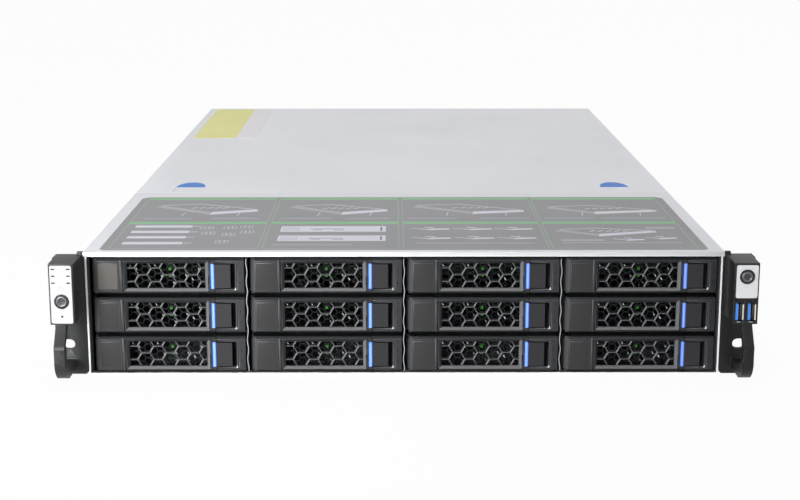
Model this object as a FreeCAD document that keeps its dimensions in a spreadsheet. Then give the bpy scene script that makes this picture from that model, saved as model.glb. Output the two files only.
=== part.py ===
"""A 2U rack server with twelve hot-swap drive bays, as an assembly of separate pieces.

Units are millimetres.  +X points to the right of someone who faces the server, +Y points to the
rear and +Z up.  The origin is the middle of the front edge of the chassis floor, in the plane of
the rack ears' front faces.
"""
import FreeCAD, Part
import math
import os
import re

import Sketcher
from FreeCAD import Placement, Rotation, Vector

JACK_COUNT = 3
DRIVE_COLUMNS = 4
DRIVE_ROWS = 3
FAN_COUNT = 4
FAN_BLADES = 5
SLOT_ROWS = 3
SLOT_GROUPS = 2
MEMORY_PER_BANK = 4
HEATSINK_FINS = 14

doc = FreeCAD.newDocument("RackServer")
sheet = doc.addObject("Spreadsheet::Sheet", "Sizes")

# ---------------------------------------------------------------------------------------------
# Driving dimensions
# ---------------------------------------------------------------------------------------------

SIZES = {
    # Chassis
    "body_width": 438.0,
    "body_height": 87.5,
    "body_depth": 730.0,
    "metal": 1.2,
    "top_flange": 8.0,
    "top_flange_setback": 8.4,
    "fit_gap": 0.1,
    # Covers
    "cover_overhang": 1.2,
    "cover_lip": 3.3,
    "front_cover_length": 216.0,
    "cover_seam": 0.6,
    "cover_tongue": 9.0,
    "tongue_gap": 1.0,
    "dimple_width": 17.0,
    "dimple_length": 18.0,
    "dimple_depth": 0.6,
    "dimple_spacing": 364.0,
    "dimple_setback": 2.0,
    # Drive bays
    "bay_pitch": 108.5,
    "row_pitch": 28.0,
    "row_bottom": 1.7,
    "divider": 1.0,
    "cage_setback": 4.0,
    "cage_length": 162.0,
    "ledge_reach": 2.2,
    "ledge_height": 1.2,
    # Carriers
    "bezel_setback": 1.0,
    "bezel_width": 105.3,
    "bezel_height": 25.0,
    "bezel_thick": 8.0,
    "bezel_bevel": 1.6,
    "carrier_length": 160.0,
    "carrier_wall": 1.55,
    "carrier_rail_height": 21.0,
    "carrier_bar": 0.8,
    "carrier_bar_length": 8.0,
    "carrier_front": 3.4,
    "carrier_front_bar": 2.4,
    "rail_groove_bottom": 8.0,
    "rail_groove_height": 6.0,
    "rail_groove_depth": 0.7,
    "fixed_bezel_width": 20.3,
    "lever_gap": 0.25,
    "hinge_inset": 3.9,
    "hinge_depth": 4.2,
    "hinge_pin": 2.0,
    "hinge_play": 0.05,
    "hinge_lug": 1.8,
    "lug_height": 1.3,
    "lug_chamfer": 1.1,
    "lever_left_gap": 0.8,
    "lever_corner": 2.7,
    "window_left": 24.6,
    "window_width": 53.8,
    "window_height": 17.4,
    "window_bevel": 2.0,
    "window_recess": 2.6,
    "mesh_thick": 1.2,
    "mesh_pitch": 10.0,
    "mesh_web": 1.0,
    "lever_wall": 1.8,
    "pad_left": 5.0,
    "pad_width": 13.4,
    "pad_height": 18.0,
    "pad_proud": 0.4,
    "pad_groove": 1.0,
    "pad_groove_depth": 0.5,
    "strip_width": 2.8,
    "strip_height": 17.6,
    "strip_proud": 0.2,
    "latch_width": 11.0,
    "latch_height": 16.8,
    "latch_skin": 2.0,
    "latch_travel": 2.5,
    "latch_recess": 5.2,
    "latch_recess_height": 18.2,
    "latch_bevel": 1.6,
    "latch_stem": 6.0,
    "catch_height": 5.6,
    # Backplane
    "board": 1.6,
    "backplane_gap": 2.0,
    "backplane_height": 80.0,
    "plug_width": 42.0,
    "plug_height": 5.0,
    "plug_length": 6.5,
    "plug_rise": 3.6,
    # Fans
    "fan_size": 80.0,
    "fan_length": 38.0,
    "fan_pitch": 104.0,
    "fan_setback": 262.0,
    "fan_bore": 76.0,
    "fan_hub": 36.0,
    "fan_hub_length": 26.0,
    "fan_tip_gap": 1.0,
    "fan_blade": 1.6,
    "fan_blade_chord": 22.0,
    "fan_blade_margin": 2.0,
    "fan_bearing": 5.4,
    "fan_shaft_reach": 4.8,
    "fan_strut": 3.0,
    "fan_shaft": 4.0,
    "fan_motor_length": 6.0,
    "fan_tray": 1.2,
    # Motherboard
    "main_board_width": 346.0,
    "main_board_left": 2.0,
    "main_board_length": 390.0,
    "main_board_rise": 6.4,
    "standoff": 6.0,
    "heatsink_width": 92.0,
    "heatsink_length": 108.0,
    "heatsink_height": 62.0,
    "heatsink_base": 6.0,
    "heatsink_fin": 1.4,
    "heatsink_spacing": 170.0,
    "heatsink_setback": 130.0,
    "socket_height": 6.0,
    "socket_inset": 9.0,
    "memory_length": 133.4,
    "memory_height": 31.2,
    "memory_thick": 3.6,
    "memory_pitch": 9.0,
    "memory_socket": 5.0,
    "memory_socket_width": 5.8,
    "memory_latch": 4.5,
    # Power supplies
    "psu_width": 73.5,
    "psu_height": 39.5,
    "psu_length": 185.0,
    "psu_gap": 0.4,
    "psu_stack_gap": 1.9,
    "psu_handle_reach": 24.0,
    "psu_handle_thick": 5.0,
    "psu_handle_corner": 5.0,
    "psu_handle_inner_corner": 2.0,
    "psu_handle_height": 30.0,
    "psu_inlet_width": 27.0,
    "psu_inlet_height": 19.0,
    "psu_inlet_depth": 14.0,
    "psu_inlet_inset": 14.4,
    "psu_fan_inset": 4.0,
    "psu_fan_bore": 32.0,
    "psu_grille_depth": 2.0,
    "psu_latch_travel": 3.0,
    "psu_latch_width": 9.0,
    "psu_latch_height": 22.0,
    "psu_latch_reach": 12.0,
    "psu_latch_thick": 1.6,
    # Rear wall
    "slot_pitch": 20.32,
    "slot_height": 18.4,
    "slot_width": 118.0,
    "slot_group_pitch": 128.0,
    "slot_left": 8.0,
    "slot_rise": 25.0,
    "slot_overlap": 2.4,
    "slot_cover": 1.0,
    "port_width": 16.0,
    "port_height": 13.0,
    "port_pitch": 24.0,
    "port_left": 20.0,
    "port_length": 20.0,
    "port_floor": 1.2,
    "port_side": 2.4,
    "port_depth": 12.0,
    # Rack ears
    "ear_reach": 241.3,
    "ear_thick": 3.0,
    "ear_leg": 1.8,
    "ear_leg_length": 62.0,
    "ear_top": 85.8,
    "ear_nub_top": 87.8,
    "ear_nub_width": 4.0,
    "ear_bottom": 0.5,
    "ear_corner": 2.0,
    "rack_hole_spacing": 465.1,
    "rack_hole_height": 22.2,
    "rack_slot_length": 9.0,
    "rack_slot_height": 6.8,
    "pod_width": 16.8,
    "pod_inset": 3.1,
    "pod_reach": 26.0,
    "pod_bottom": 43.5,
    "handle_width": 7.2,
    "handle_inset": 6.4,
    "handle_reach": 35.0,
    "handle_strap": 6.6,
    "handle_bottom": 4.7,
    "handle_neck": 0.5,
    "handle_shoulder": 14.0,
    "handle_inner_shoulder": 13.0,
    "handle_round": 15.0,
    "handle_inner_round": 8.4,
    "handle_shoulder_round": 6.0,
    # Front panels
    "plate": 0.8,
    "plate_margin": 0.6,
    "button": 9.6,
    "button_bore": 10.2,
    "button_length": 6.0,
    "button_proud": 0.9,
    "button_travel": 1.2,
    "power_button_height": 59.8,
    "uid_button_height": 76.6,
    "reset_hole": 1.5,
    "reset_hole_height": 49.4,
    "right_plate_bottom": 61.3,
    "usb_width": 6.6,
    "usb_height": 14.4,
    "usb_length": 16.0,
    "usb_spacing": 8.2,
    "usb_bottom": 44.9,
    "usb_wall": 0.5,
    "usb_tongue": 1.8,
    "usb_depth": 9.0,
    # Rail fixings on the chassis sides
    "rail_hole": 4.2,
    "rail_hole_spacing": 480.0,
    "rail_hole_setback": 120.0,
    "rail_hole_height": 43.75,
}

for row, (alias, value) in enumerate(SIZES.items(), start=1):
    sheet.set("A%d" % row, alias)
    sheet.set("B%d" % row, str(value))
    sheet.setAlias("B%d" % row, alias)
doc.recompute()


def size(alias):
    """The value of one driving dimension, as a number."""
    return float(sheet.get(alias))


def bound(text):
    """An expression on the sheet, from one that names its driving dimensions only."""
    return re.sub(r"[a-z]+(_[a-z]+)*", lambda found: prefixed(found.group()), text)


def prefixed(word):
    """A word of an expression, with the sheet's name in front of a driving dimension."""
    if word in SIZES:
        return "Sizes." + word
    return word


# ---------------------------------------------------------------------------------------------
# Helpers for bodies, sketches and features
# ---------------------------------------------------------------------------------------------

PLANES = {"Z": "XY_Plane", "Y": "XZ_Plane", "X": "YZ_Plane"}
AXES = {"X": "X_Axis", "Y": "Y_Axis", "Z": "Z_Axis"}
subparts = []


def origin_feature(body, role):
    """The plane or axis of a body's origin that has this role."""
    return [item for item in body.Origin.OriginFeatures if item.Role == role][0]


def new_body(name):
    """A PartDesign body whose solids may be several."""
    body = doc.addObject("PartDesign::Body", name)
    body.AllowCompound = True
    return body


def new_sketch(body, axis, start):
    """A sketch across an axis, at a distance along it from the body's origin."""
    sketch = body.newObject("Sketcher::SketchObject", "Profile")
    sketch.AttachmentSupport = (origin_feature(body, PLANES[axis]), [""])
    sketch.MapMode = "FlatFace"
    distance = "-(%s)" % start if axis == "Y" else start
    sketch.setExpression("AttachmentOffset.Base.z", bound(distance))
    return sketch


def add_outline(sketch, corners):
    """A closed outline of straight edges, each corner tied to the sheet in both directions."""
    count = len(corners)
    first = sketch.GeometryCount
    for index in range(count):
        turn = 2 * math.pi * index / count
        following = 2 * math.pi * (index + 1) / count
        start = Vector(10 * math.cos(turn), 10 * math.sin(turn), 0)
        end = Vector(10 * math.cos(following), 10 * math.sin(following), 0)
        sketch.addGeometry(Part.LineSegment(start, end), False)
    rules = []
    for index in range(count):
        edge = first + index
        following = first + (index + 1) % count
        rules.append(Sketcher.Constraint("Coincident", edge, 2, following, 1))
    sketch.addConstraint(rules)
    for index, (across, along) in enumerate(corners):
        edge = first + index
        for kind, text in (("DistanceX", across), ("DistanceY", along)):
            number = sketch.addConstraint(Sketcher.Constraint(kind, -1, 1, edge, 1, 1.0))
            sketch.setExpression("Constraints[%d]" % number, bound(text))


def add_circle(sketch, across, along, diameter):
    """A circle with its centre and diameter tied to the sheet."""
    edge = sketch.addGeometry(Part.Circle(Vector(1, 1, 0), Vector(0, 0, 1), 2), False)
    for kind, text in (("DistanceX", across), ("DistanceY", along)):
        number = sketch.addConstraint(Sketcher.Constraint(kind, -1, 1, edge, 3, 1.0))
        sketch.setExpression("Constraints[%d]" % number, bound(text))
    number = sketch.addConstraint(Sketcher.Constraint("Diameter", edge, 4.0))
    sketch.setExpression("Constraints[%d]" % number, bound(diameter))


def rectangle(left, right, low, high):
    """The corners of a rectangle."""
    return [(left, low), (right, low), (right, high), (left, high)]


def centred(width, height, across="0", along="0"):
    """The corners of a rectangle given by its size and its middle."""
    left = "%s - (%s) / 2" % (across, width)
    right = "%s + (%s) / 2" % (across, width)
    low = "%s - (%s) / 2" % (along, height)
    high = "%s + (%s) / 2" % (along, height)
    return rectangle(left, right, low, high)


def add_shapes(sketch, shapes):
    """Outlines, given as corner lists, and circles, given as (across, along, diameter)."""
    for shape in shapes:
        if isinstance(shape, tuple):
            add_circle(sketch, *shape)
        else:
            add_outline(sketch, shape)


def pad(body, axis, start, length, *shapes):
    """Material that grows along an axis from a start, over a length."""
    sketch = new_sketch(body, axis, start)
    add_shapes(sketch, shapes)
    feature = body.newObject("PartDesign::Pad", "Pad")
    feature.Profile = sketch
    feature.setExpression("Length", bound(length))
    feature.Reversed = axis == "Y"
    body.Tip = feature
    doc.recompute()
    return feature


def pocket(body, axis, start, length, *shapes):
    """A cut along an axis from a start, over a length."""
    sketch = new_sketch(body, axis, start)
    add_shapes(sketch, shapes)
    feature = body.newObject("PartDesign::Pocket", "Pocket")
    feature.Profile = sketch
    feature.setExpression("Length", bound(length))
    feature.Reversed = axis != "Y"
    body.Tip = feature
    doc.recompute()
    return feature


def repeat(body, features, axis, pitch, count):
    """Copies of features along an axis."""
    pattern = body.newObject("PartDesign::LinearPattern", "Row")
    pattern.Originals = features
    pattern.Direction = (origin_feature(body, AXES[axis]), [""])
    pattern.setExpression("Length", bound("(%s) * %d" % (pitch, count - 1)))
    pattern.Occurrences = count
    body.Tip = pattern
    doc.recompute()
    return pattern


def edge_names(shape, test):
    """The names of the straight edges whose two ends pass a test."""
    names = []
    for number, edge in enumerate(shape.Edges, start=1):
        ends = [vertex.Point for vertex in edge.Vertexes]
        if len(ends) == 2 and test(ends[0], ends[1]):
            names.append("Edge%d" % number)
    return names


def runs_along(axis):
    """A test for edges that run along an axis."""
    others = [name for name in "xyz" if name != axis.lower()]

    def test(one, two):
        return all(abs(getattr(one, name) - getattr(two, name)) < 1e-6 for name in others)
    return test


def soften(body, kind, amount, test):
    """A fillet or chamfer of the edges that pass a test."""
    base = body.Tip
    feature = body.newObject("PartDesign::" + kind, kind)
    feature.Base = (base, edge_names(base.Shape, test))
    feature.setExpression("Radius" if kind == "Fillet" else "Size", bound(amount))
    body.Tip = feature
    doc.recompute()
    return feature


def place(item, across="0", along="0", up="0"):
    """The place of a sub-part, tied to the sheet."""
    item.setExpression("Placement.Base.x", bound(across))
    item.setExpression("Placement.Base.y", bound(along))
    item.setExpression("Placement.Base.z", bound(up))


def name_part(item, label):
    """Makes an object one of the sub-parts, with its own name."""
    item.Label = label
    subparts.append(item)
    return item


def copy_of(masters, label, across, along, up):
    """A sub-part that repeats master solids in a place of its own."""
    item = doc.addObject("Part::Compound", "Copy")
    item.Links = masters
    place(item, across, along, up)
    return name_part(item, label)


# ---------------------------------------------------------------------------------------------
# Shared positions, as expressions
# ---------------------------------------------------------------------------------------------

HALF_BODY = "body_width / 2"
INNER_SIDE = "(body_width / 2 - metal)"
COVER_UNDER = "(body_height - metal)"
LIP_BOTTOM = "(body_height - cover_lip)"
CAGE_END = "(cage_setback + cage_length)"
SEAM = "(bezel_width / 2 - fixed_bezel_width)"
BEZEL_LEFT = "(-bezel_width / 2)"
BEZEL_MIDDLE = "bezel_height / 2"
HINGE_X = "(hinge_inset - bezel_width / 2)"
FRAME_FRONT = "(bezel_thick + lever_gap)"
FRAME_BACK = "(bezel_thick + lever_gap + carrier_front)"
BOARD_LEFT = "(metal + main_board_left - body_width / 2)"
BOARD_MIDDLE = "(metal + main_board_left - body_width / 2 + main_board_width / 2)"
BOARD_FRONT = "(body_depth - metal - slot_cover - main_board_length)"
BOARD_TOP = "(metal + main_board_rise + board)"
PSU_LEFT = "(body_width / 2 - metal - 2 * psu_gap - psu_width)"
PSU_FRONT = "(body_depth - psu_length)"
PSU_LOW = "metal"
POD_INNER = "(ear_reach - pod_inset - pod_width)"
POD_MIDDLE = "(ear_reach - pod_inset - pod_width / 2)"
JACK_LEFT = "(slot_left + port_left - (body_width / 2 - metal) + %d * port_pitch)"
HANDLE_INNER = "(ear_reach - handle_inset - handle_width)"


# ---------------------------------------------------------------------------------------------
# Chassis and covers
# ---------------------------------------------------------------------------------------------

FLANGE_LOW = "(body_height - 2 * metal)"


def chassis_tray():
    """The folded steel tray: floor and sides with their top flanges and rail holes."""
    body = new_body("ChassisTray")
    pad(body, "Y", "0", "body_depth", [
        ("-" + HALF_BODY, "0"), (HALF_BODY, "0"),
        (HALF_BODY, COVER_UNDER), (INNER_SIDE, COVER_UNDER),
        (INNER_SIDE, "metal"), ("-" + INNER_SIDE, "metal"),
        ("-" + INNER_SIDE, COVER_UNDER), ("-" + HALF_BODY, COVER_UNDER)])
    for inner, outer in (("-" + INNER_SIDE, "top_flange - " + INNER_SIDE),
                         (INNER_SIDE + " - top_flange", INNER_SIDE)):
        pad(body, "Y", CAGE_END + " + top_flange_setback",
            "body_depth - metal - %s - top_flange_setback" % CAGE_END,
            rectangle(inner, outer, FLANGE_LOW, COVER_UNDER))
    front_notch = rectangle("-metal", "metal + fit_gap", LIP_BOTTOM + " - fit_gap", "body_height")
    pocket(body, "X", "-" + HALF_BODY, "body_width", front_notch)
    holes = [("rail_hole_setback + %d * rail_hole_spacing" % index, "rail_hole_height", "rail_hole")
             for index in range(2)]
    pocket(body, "X", "-" + HALF_BODY, "metal", *holes)
    pocket(body, "X", INNER_SIDE, "metal", *holes)
    return body


def rear_wall():
    """The rear wall sheet, with the slots, the power supply window and the jack holes."""
    body = new_body("RearWall")
    pad(body, "Y", "body_depth - metal", "metal",
        rectangle("-" + INNER_SIDE, INNER_SIDE, "metal", COVER_UNDER))
    pocket(body, "Y", "body_depth - metal", "metal",
           rectangle(PSU_LEFT + " - psu_gap", INNER_SIDE, PSU_LOW,
                     PSU_LOW + " + 2 * psu_height + psu_stack_gap + psu_gap"))
    slots = []
    for group in range(SLOT_GROUPS):
        left = "slot_left - %s + %d * slot_group_pitch" % (INNER_SIDE, group)
        for row in range(SLOT_ROWS):
            low = "slot_rise + %d * slot_pitch" % row
            slots.append(rectangle(left, left + " + slot_width - 2 * slot_overlap",
                                   low, low + " + slot_height - 2 * slot_overlap"))
    pocket(body, "Y", "body_depth - metal", "metal", *slots)
    ports = []
    for index in range(JACK_COUNT):
        left = JACK_LEFT % index
        ports.append(rectangle(left + " - fit_gap", left + " + port_width + fit_gap",
                               BOARD_TOP + " - fit_gap", BOARD_TOP + " + port_height + fit_gap"))
    pocket(body, "Y", "body_depth - metal", "metal", *ports)
    return body


def supply_bay():
    """The upright sheet and the shelf that hold the two power supplies."""
    body = new_body("SupplyBay")
    wall_left = PSU_LEFT + " - psu_gap - metal"
    pad(body, "Y", PSU_FRONT, "psu_length - metal",
        rectangle(wall_left, PSU_LEFT + " - psu_gap", "metal", FLANGE_LOW + " - fit_gap"))
    pad(body, "Y", PSU_FRONT, "psu_length - metal",
        rectangle(wall_left, INNER_SIDE, PSU_LOW + " + psu_height + psu_gap",
                  PSU_LOW + " + psu_height + psu_stack_gap"))
    return body


def group_of(solids, label):
    """A sub-part that is made of several solids."""
    group = doc.addObject("Part::Compound", "Group")
    group.Links = solids
    return name_part(group, label)


def cover_profile():
    """The corners of a cover's section: a flat top with a short fold down at each side."""
    outside = "(body_width / 2 + cover_overhang)"
    return [("-" + outside, LIP_BOTTOM), ("-" + outside, "body_height"),
            (outside, "body_height"), (outside, LIP_BOTTOM),
            (HALF_BODY, LIP_BOTTOM), (HALF_BODY, COVER_UNDER),
            ("-" + HALF_BODY, COVER_UNDER), ("-" + HALF_BODY, LIP_BOTTOM)]


def front_cover():
    """The fixed cover over the drive bays, with its folded front lip."""
    body = new_body("FrontCover")
    pad(body, "Y", "0", "front_cover_length", cover_profile())
    pad(body, "Y", "0", "metal", rectangle("-" + HALF_BODY, HALF_BODY, LIP_BOTTOM, COVER_UNDER))
    return name_part(body, "front_cover")


def rear_cover():
    """The lift-off cover, with a tongue under the front cover and two thumb dimples."""
    body = new_body("RearCover")
    start = "front_cover_length + cover_seam"
    pad(body, "Y", start, "body_depth - %s" % start.replace("+", "-"), cover_profile())
    tongue_reach = INNER_SIDE + " - top_flange - tongue_gap"
    pad(body, "Y", "front_cover_length - cover_tongue", "2 * cover_tongue",
        rectangle("-(%s)" % tongue_reach, tongue_reach, COVER_UNDER + " - metal", COVER_UNDER))
    dimples = []
    for side in ("-", ""):
        middle = "%sdimple_spacing / 2" % side
        dimples.append(centred("dimple_width", "dimple_length", middle,
                               "(%s + dimple_setback + dimple_length / 2)" % start))
    pocket(body, "Z", "body_height - dimple_depth", "dimple_depth", *dimples)
    return name_part(body, "rear_cover")


# ---------------------------------------------------------------------------------------------
# Drive cage and backplane
# ---------------------------------------------------------------------------------------------

def drive_cage():
    """The cage: a top sheet, side sheets and dividers between columns, each with its ledges."""
    top = new_body("CageTop")
    pad(top, "Y", "cage_setback", "cage_length",
        rectangle("-" + INNER_SIDE, INNER_SIDE, COVER_UNDER + " - metal", COVER_UNDER))
    side_face = "(%d * bay_pitch / 2 - divider / 2)" % DRIVE_COLUMNS
    sheets = [top, cage_sheet("CageSide", "-" + INNER_SIDE, "-" + side_face, (1,)),
              cage_sheet("CageSide", side_face, INNER_SIDE, (-1,))]
    for index in range(DRIVE_COLUMNS - 1):
        middle = "(%d) * bay_pitch" % (index + 1 - DRIVE_COLUMNS // 2)
        sheets.append(cage_sheet("Divider", middle + " - divider / 2", middle + " + divider / 2",
                                 (-1, 1)))
    return group_of(sheets, "drive_cage")


def cage_sheet(name, left, right, sides):
    """An upright sheet of the cage, with a ledge for each row on the faces that border a bay."""
    body = new_body(name)
    pad(body, "Y", "cage_setback", "cage_length",
        rectangle(left, right, "metal", COVER_UNDER + " - metal"))
    start = "cage_setback + bezel_thick + carrier_front"
    run = "cage_length - bezel_thick - carrier_front"

    def ledges(low, high):
        faces = {-1: (left + " - ledge_reach", left), 1: (right, right + " + ledge_reach")}
        return pad(body, "Y", start, run, *[rectangle(*faces[side], low, high) for side in sides])
    ledges("metal", "row_bottom")
    upper = ledges("row_bottom + row_pitch - ledge_height", "row_bottom + row_pitch")
    repeat(body, [upper], "Z", "row_pitch", DRIVE_ROWS - 1)
    return body


def backplane():
    """The board behind the drives, with a plug for each drive and slots that let air through."""
    body = new_body("Backplane")
    face = "(%s + backplane_gap)" % CAGE_END
    pad(body, "Y", face, "board",
        rectangle("-" + INNER_SIDE + " + backplane_gap", INNER_SIDE + " - backplane_gap",
                  "metal", "metal + backplane_height"))
    low = "row_bottom + plug_rise"
    vent_low = low + " + 2 * plug_height"
    first = "(0.5 - %d / 2) * bay_pitch" % DRIVE_COLUMNS
    plug = pad(body, "Y", face + " - plug_length", "plug_length",
               centred("plug_width", "plug_height", first, "(%s + plug_height / 2)" % low))
    vent = pocket(body, "Y", face, "board",
                  rectangle(first + " - plug_width", first + " + plug_width", vent_low,
                            vent_low + " + 2 * plug_height"))
    grid(body, [plug, vent], ("X", "bay_pitch", DRIVE_COLUMNS), ("Z", "row_pitch", DRIVE_ROWS))
    return name_part(body, "backplane")


def grid(body, features, *directions):
    """Copies of features along several axes in turn."""
    pattern = body.newObject("PartDesign::MultiTransform", "Grid")
    pattern.Originals = features
    steps = []
    for axis, pitch, count in directions:
        step = body.newObject("PartDesign::LinearPattern", "Step")
        step.Direction = (origin_feature(body, AXES[axis]), [""])
        step.setExpression("Length", bound("(%s) * %d" % (pitch, count - 1)))
        step.Occurrences = count
        steps.append(step)
    pattern.Transformations = steps
    body.Tip = pattern
    doc.recompute()
    return pattern


# ---------------------------------------------------------------------------------------------
# Hot-swap carriers
# ---------------------------------------------------------------------------------------------

def carrier_master():
    """The tray of one drive: fixed bezel end, front frame, side rails, hinge lugs and pin."""
    body = new_body("CarrierMaster")
    pad(body, "Y", "0", FRAME_BACK, rectangle(SEAM, "bezel_width / 2", "0", "bezel_height"))
    soften(body, "Chamfer", "bezel_bevel", lambda one, two: runs_along("X")(one, two)
           and abs(one.y) < 1e-6)
    bezel_recess(body)
    pad(body, "Y", FRAME_FRONT, "carrier_front",
        rectangle(BEZEL_LEFT, SEAM, "0", "bezel_height"))
    pocket(body, "Y", FRAME_FRONT, "carrier_front",
           rectangle(HINGE_X + " + hinge_lug", SEAM + " - lever_wall", "carrier_front_bar",
                     "bezel_height - carrier_front_bar"))
    pad(body, "Y", FRAME_BACK, "carrier_length - " + FRAME_BACK,
        rectangle(BEZEL_LEFT, BEZEL_LEFT + " + carrier_wall", "0", "carrier_rail_height"),
        rectangle("bezel_width / 2 - carrier_wall", "bezel_width / 2", "0", "carrier_rail_height"))
    pad(body, "Z", "0", "carrier_bar",
        rectangle(BEZEL_LEFT + " + carrier_wall / 2", "bezel_width / 2 - carrier_wall / 2",
                  "carrier_length - carrier_bar_length", "carrier_length"))
    hinge_parts(body)
    groove = rectangle(FRAME_BACK + " + carrier_front", "carrier_length + fit_gap",
                       "rail_groove_bottom", "rail_groove_bottom + rail_groove_height")
    pocket(body, "X", BEZEL_LEFT, "rail_groove_depth", groove)
    pocket(body, "X", "bezel_width / 2 - rail_groove_depth", "rail_groove_depth", groove)
    return body


def bezel_recess(body):
    """The bevelled recess in the fixed bezel end, where the release button slides."""
    reach = SEAM + " + latch_width + latch_travel + 2 * lever_gap"
    low = BEZEL_MIDDLE + " - latch_recess_height / 2"
    high = BEZEL_MIDDLE + " + latch_recess_height / 2"
    pocket(body, "Y", "0", "latch_recess", rectangle(SEAM, reach, low, high))
    edge = size("bezel_width") / 2 - size("fixed_bezel_width")
    edge += size("latch_width") + size("latch_travel") + 2 * size("lever_gap")
    soften(body, "Chamfer", "latch_bevel", lambda one, two: runs_along("Z")(one, two)
           and abs(one.y) < 1e-6 and abs(one.x - edge) < 1e-6)
    catch_left = SEAM + " + latch_width + 2 * lever_gap"
    pad(body, "Y", "latch_skin + 2 * lever_gap", "latch_recess - latch_skin - 2 * lever_gap",
        rectangle(catch_left, catch_left + " + latch_travel - 2 * lever_gap",
                  high + " - catch_height", high))


def hinge_parts(body):
    """The two lugs in front of the left post, and the pin between them."""
    cut = "lug_chamfer"
    front = "hinge_depth - hinge_lug"
    lug = [(HINGE_X + " - hinge_lug", FRAME_FRONT),
           (HINGE_X + " - hinge_lug", "%s + %s" % (front, cut)),
           (HINGE_X + " - hinge_lug + " + cut, front),
           (HINGE_X + " + hinge_lug - " + cut, front),
           (HINGE_X + " + hinge_lug", "%s + %s" % (front, cut)),
           (HINGE_X + " + hinge_lug", FRAME_FRONT)]
    pad(body, "Z", "0", "lug_height", lug)
    pad(body, "Z", "bezel_height - lug_height", "lug_height", lug)
    pad(body, "Z", "lug_height", "bezel_height - 2 * lug_height",
        (HINGE_X, "hinge_depth", "hinge_pin"))


def lever_master():
    """The swinging bezel of a carrier: barrel, label pad, bevelled window and honeycomb."""
    body = new_body("LeverMaster")
    left = BEZEL_LEFT + " + lever_left_gap"
    right = SEAM + " - lever_gap"
    pad(body, "Y", "0", "bezel_thick", rectangle(left, right, "0", "bezel_height"))
    left_edge = size("lever_left_gap") - size("bezel_width") / 2
    soften(body, "Chamfer", "lever_corner", lambda one, two: runs_along("Z")(one, two)
           and abs(one.y) < 1e-6 and abs(one.x - left_edge) < 1e-6)
    soften(body, "Chamfer", "bezel_bevel", lambda one, two: runs_along("X")(one, two)
           and abs(one.y) < 1e-6)
    window_left = "(%s + window_left)" % BEZEL_LEFT
    window_right = "(%s + window_width)" % window_left
    low = BEZEL_MIDDLE + " - window_height / 2"
    high = BEZEL_MIDDLE + " + window_height / 2"
    pocket(body, "Y", "0", "window_recess", rectangle(window_left, window_right, low, high))
    middle = left_edge - size("lever_left_gap") + size("window_left") + size("window_width") / 2
    reach = size("window_width") / 2 + 1e-6
    soften(body, "Chamfer", "window_bevel", lambda one, two: all(
        abs(end.y) < 1e-6 and abs(end.x - middle) < reach for end in (one, two))
        and size("bezel_bevel") + 1e-6 < one.z < size("bezel_height") - size("bezel_bevel") - 1e-6)
    mesh_back = "(window_recess + mesh_thick)"
    notch_left = "(%s - strip_width - lever_gap)" % SEAM
    barrel_right = "(%s + hinge_lug + 2 * lever_gap)" % HINGE_X
    pocket(body, "Y", mesh_back, "bezel_thick - " + mesh_back,
           rectangle(barrel_right + " + lever_wall", notch_left + " - lever_wall",
                     "lever_wall", "bezel_height - lever_wall"))
    pocket(body, "Y", "0", "bezel_thick",
           rectangle(notch_left, right, BEZEL_MIDDLE + " - strip_height / 2 - lever_gap",
                     BEZEL_MIDDLE + " + strip_height / 2 + lever_gap"))
    barrel_back = "(hinge_depth + hinge_lug + 2 * lever_gap)"
    pocket(body, "Y", barrel_back, "bezel_thick - " + barrel_back,
           rectangle(left, barrel_right, "0", "bezel_height"))
    lug_front = "(hinge_depth - hinge_lug - 2 * lever_gap)"
    lug_room = "lug_height + lever_gap"
    pocket(body, "Y", lug_front, "bezel_thick - " + lug_front,
           rectangle(left, barrel_right, "0", lug_room),
           rectangle(left, barrel_right, "bezel_height - (%s)" % lug_room, "bezel_height"))
    pocket(body, "Z", "0", "bezel_height",
           (HINGE_X, "hinge_depth", "hinge_pin + 2 * hinge_play"))
    pad_left = "(%s + pad_left)" % BEZEL_LEFT
    pad(body, "Y", "-pad_proud", "pad_proud",
        centred("pad_width", "pad_height", pad_left + " + pad_width / 2", BEZEL_MIDDLE))
    groove_left = pad_left + " + pad_width + pad_groove"
    pocket(body, "Y", "0", "pad_groove_depth",
           rectangle(groove_left, groove_left + " + pad_groove", "0", "bezel_height"))
    lever = doc.addObject("Part::Cut", "LeverWithHoneycomb")
    lever.Base = body
    lever.Tool = honeycomb_cells(window_left, low)
    lever.Refine = True
    return lever


def honeycomb_cells(window_left, window_low):
    """The six-sided air holes of one lever, cut short where they meet the window's edge."""
    cells = []
    columns = int(size("window_width") / (size("mesh_pitch") * math.sqrt(3) / 2)) + 2
    rows = int(size("window_height") / size("mesh_pitch")) + 2
    for column in range(columns):
        for row in range(rows):
            cell = doc.addObject("Part::Prism", "Cell")
            cell.Polygon = 6
            cell.setExpression("Circumradius", bound("(mesh_pitch - mesh_web) / sqrt(3)"))
            cell.setExpression("Height", bound("mesh_thick"))
            cell.Placement = Placement(Vector(), Rotation(Vector(1, 0, 0), -90))
            step = row + (column % 2) / 2
            place(cell, "%s + mesh_pitch * %d * sqrt(3) / 2" % (window_left, column),
                  "window_recess", "%s + mesh_pitch * %s" % (window_low, step))
            cells.append(cell)
    pattern = doc.addObject("Part::Compound", "CellPattern")
    pattern.Links = cells
    window = doc.addObject("Part::Box", "MeshWindow")
    window.setExpression("Length", bound("window_width"))
    window.setExpression("Width", bound("mesh_thick"))
    window.setExpression("Height", bound("window_height"))
    place(window, window_left, "window_recess", window_low)
    holes = doc.addObject("Part::Common", "MeshHoles")
    holes.Base = window
    holes.Tool = pattern
    return holes


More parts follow.
